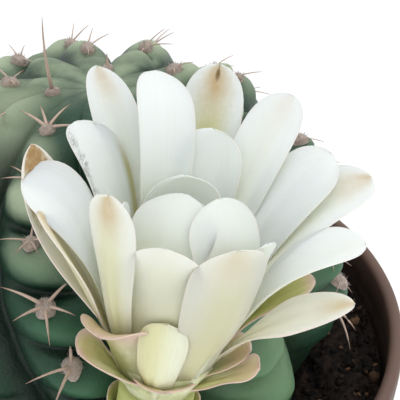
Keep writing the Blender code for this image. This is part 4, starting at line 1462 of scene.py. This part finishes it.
@dataclass
class Mix:
    """Potting mix: a rough surface with a hollow for the plant, and loose bits on it."""

    level: float = 90 * MM
    lumps: float = 1.3 * MM
    moat: float = 1.6 * MM
    bits: int = 1500
    gap: float = 0.3 * MM
    sides: int = 260
    plant_latitude: float = 30
    seat: tuple[tuple[float, float], ...] = ((37.5, 84.2), (32, 77.6), (1, 77.6))
    waves: tuple[tuple[float, float, float], ...] = ((7, 310, 0), (11, -420, 1.7), (17, 610, 0.6))

    def foot(self, plant: Plant) -> float:
        """Gives the plant's radius where the mix meets it."""
        return plant.radius * math.cos(math.radians(self.plant_latitude))

    def height(self, radius: np.ndarray, turn: np.ndarray, plant: Plant) -> np.ndarray:
        """Gives the surface's height at a radius and an azimuth in radians."""
        waves = sum(np.sin(lobes * turn + radius * slant + start) for lobes, slant, start in self.waves)
        moat = self.moat * smooth_step(1 - (radius - self.foot(plant)) / (8 * MM))
        return self.level + self.lumps * waves / 3 - moat

    def build(self, pot: Pot, plant: Plant) -> None:
        """Builds the lump and the loose bits.

        Args:
            pot: The pot that holds it.
            plant: The plant that stands in it.
        """
        turns = round_turns(self.sides)
        floor, collar = pot.floor + self.gap, pot.height - pot.collar - self.gap
        edge = pot.inside_radius(self.level - 3 * MM) - 2 * self.gap
        hole = self.foot(plant) + 0.5 * MM
        lines: list[tuple[float, np.ndarray | float]] = [
            (1 * MM, floor),
            (pot.inside_radius(floor) - self.gap, floor),
            (pot.inside_radius(collar) - self.gap, collar),
            (edge, self.level - 3 * MM),
        ]
        for radius in np.linspace(edge - 0.2 * MM, hole, 30):
            flat = polar(radius, turns, 0.0)
            crumbs = 0.45 * MM * ripple(flat, 4.3 * MM, 2) + 0.3 * MM * ripple(flat, 1.7 * MM, 3)
            lines.append((radius, self.height(radius, turns, plant) + crumbs))
        lines += [(radius * MM, height * MM) for radius, height in self.seat]
        rings = [polar(radius, turns, height) for radius, height in lines]
        draft = Draft()
        draft.rings(np.array(rings), bark=0.0)
        finish = MixFinish().make("potting_mix")
        draft.build("mix_surface", "potting_mix", "mix", finish)
        loose = Draft()
        chance = random.Random(17)
        for _ in range(self.bits):
            radius = chance.uniform(hole + 1 * MM, edge - 1.2 * MM)
            turn = chance.uniform(0, math.tau)
            size = chance.uniform(0.5, 1.0) * MM * (2.1 if chance.random() < 0.14 else 1)
            top = float(self.height(np.array(radius), np.array(turn), plant))
            spot = np.array([radius * math.cos(turn), radius * math.sin(turn), top + size * 0.25])
            points, faces = self.chip(spot, size, chance)
            loose.add(points, faces, bark=chance.uniform(0.35, 1) if chance.random() < 0.2 else 0.0)
        loose.build("mix_bits", "potting_mix", "mix", finish)

    @staticmethod
    def chip(spot: np.ndarray, size: float, chance: random.Random) -> tuple[np.ndarray, list[tuple[int, ...]]]:
        """Makes one broken crumb.

        Args:
            spot: Where it lies.
            size: Half its length.
            chance: Source of its shape.

        Returns:
            Its points and its faces.
        """
        corners = []
        for up in (-0.5, 0.5):
            for side in range(5):
                turn = math.tau * side / 5 + chance.uniform(-0.3, 0.3)
                reach = chance.uniform(0.6, 1.0) * (0.8 if up > 0 else 1)
                corners.append([reach * math.cos(turn), 0.62 * reach * math.sin(turn), up * chance.uniform(0.6, 1.1)])
        spin = Matrix.Rotation(chance.uniform(0, math.tau), 3, "Z") @ Matrix.Rotation(chance.gauss(0, 0.4), 3, "X")
        points = np.array(corners) * size @ np.array(spin).T + spot
        faces = [tuple(range(4, -1, -1)), tuple(range(5, 10))]
        faces += [(side, (side + 1) % 5, 5 + (side + 1) % 5, 5 + side) for side in range(5)]
        return points, faces


@dataclass(frozen=True)
class Lamp:
    """One square soft light that faces the plant, its power in watts."""

    name: str
    spot: tuple[float, float, float]
    size: float
    power: float
    tint: Colour
    aim: tuple[float, float, float] = (0, -0.02, 0.12)

    def hang(self) -> None:
        """Hangs the light."""
        light = bpy.data.lights.new(self.name, "AREA")
        light.size, light.energy, light.color = self.size, self.power, self.tint
        made = bpy.data.objects.new(self.name, light)
        made.location = self.spot
        made.rotation_euler = (Vector(self.spot) - Vector(self.aim)).to_track_quat("Z", "Y").to_euler()
        bpy.context.scene.collection.objects.link(made)


@dataclass
class Studio:
    """Pale floor, soft lights and the camera at the photograph's angle."""

    floor_half: float = 3.0
    sky: tuple[float, float, float, float] = (0.97, 0.985, 1.0, 1)
    sky_strength: float = 0.97
    lamps: tuple[Lamp, ...] = (
        Lamp("key", (0.3, 0.0, 0.85), 0.9, 2.4, (1.0, 0.99, 0.97)),
        Lamp("fill", (0.0, -0.6, 0.3), 0.8, 0.9, (0.98, 0.99, 1.0)),
    )
    camera_place: tuple[float, float, float] = (0.0192, -0.18205, 0.25529)
    camera_elevation: float = 35.0
    camera_angle: float = 20.0

    def build(self) -> None:
        """Sets the floor, the lights and the camera."""
        scene = bpy.context.scene
        ground = Draft()
        ground.add(self.floor_half * np.array([(-1, -1, 0), (1, -1, 0), (1, 1, 0), (-1, 1, 0)]), [(0, 1, 2, 3)])
        floor = ground.shape("floor")
        floor.data.materials.append(FloorFinish().make())
        world = bpy.data.worlds.new("studio")
        world.use_nodes = True
        sky = world.node_tree.nodes["Background"].inputs
        sky["Color"].default_value, sky["Strength"].default_value = self.sky, self.sky_strength
        scene.world = world
        for lamp in self.lamps:
            lamp.hang()
        scene.view_settings.view_transform = "Standard"
        lens = bpy.data.cameras.new("camera")
        lens.angle = math.radians(self.camera_angle)
        lens.clip_start = 0.005
        camera = bpy.data.objects.new("camera", lens)
        camera.location = self.camera_place
        camera.rotation_euler = (math.radians(90 - self.camera_elevation), 0, 0)
        scene.collection.objects.link(camera)
        scene.camera = camera


PLANT = Plant()
FLOWER = Flower()


def main() -> None:
    """Builds the parts in order."""
    logging.basicConfig(level=logging.INFO, format="%(name)s: %(message)s")
    pot = Pot()
    Studio().build()
    pot.build()
    Mix().build(pot, PLANT)
    PLANT.build()
    FLOWER.build()
    Dew().build(FLOWER)


if __name__ == "__main__":
    main()
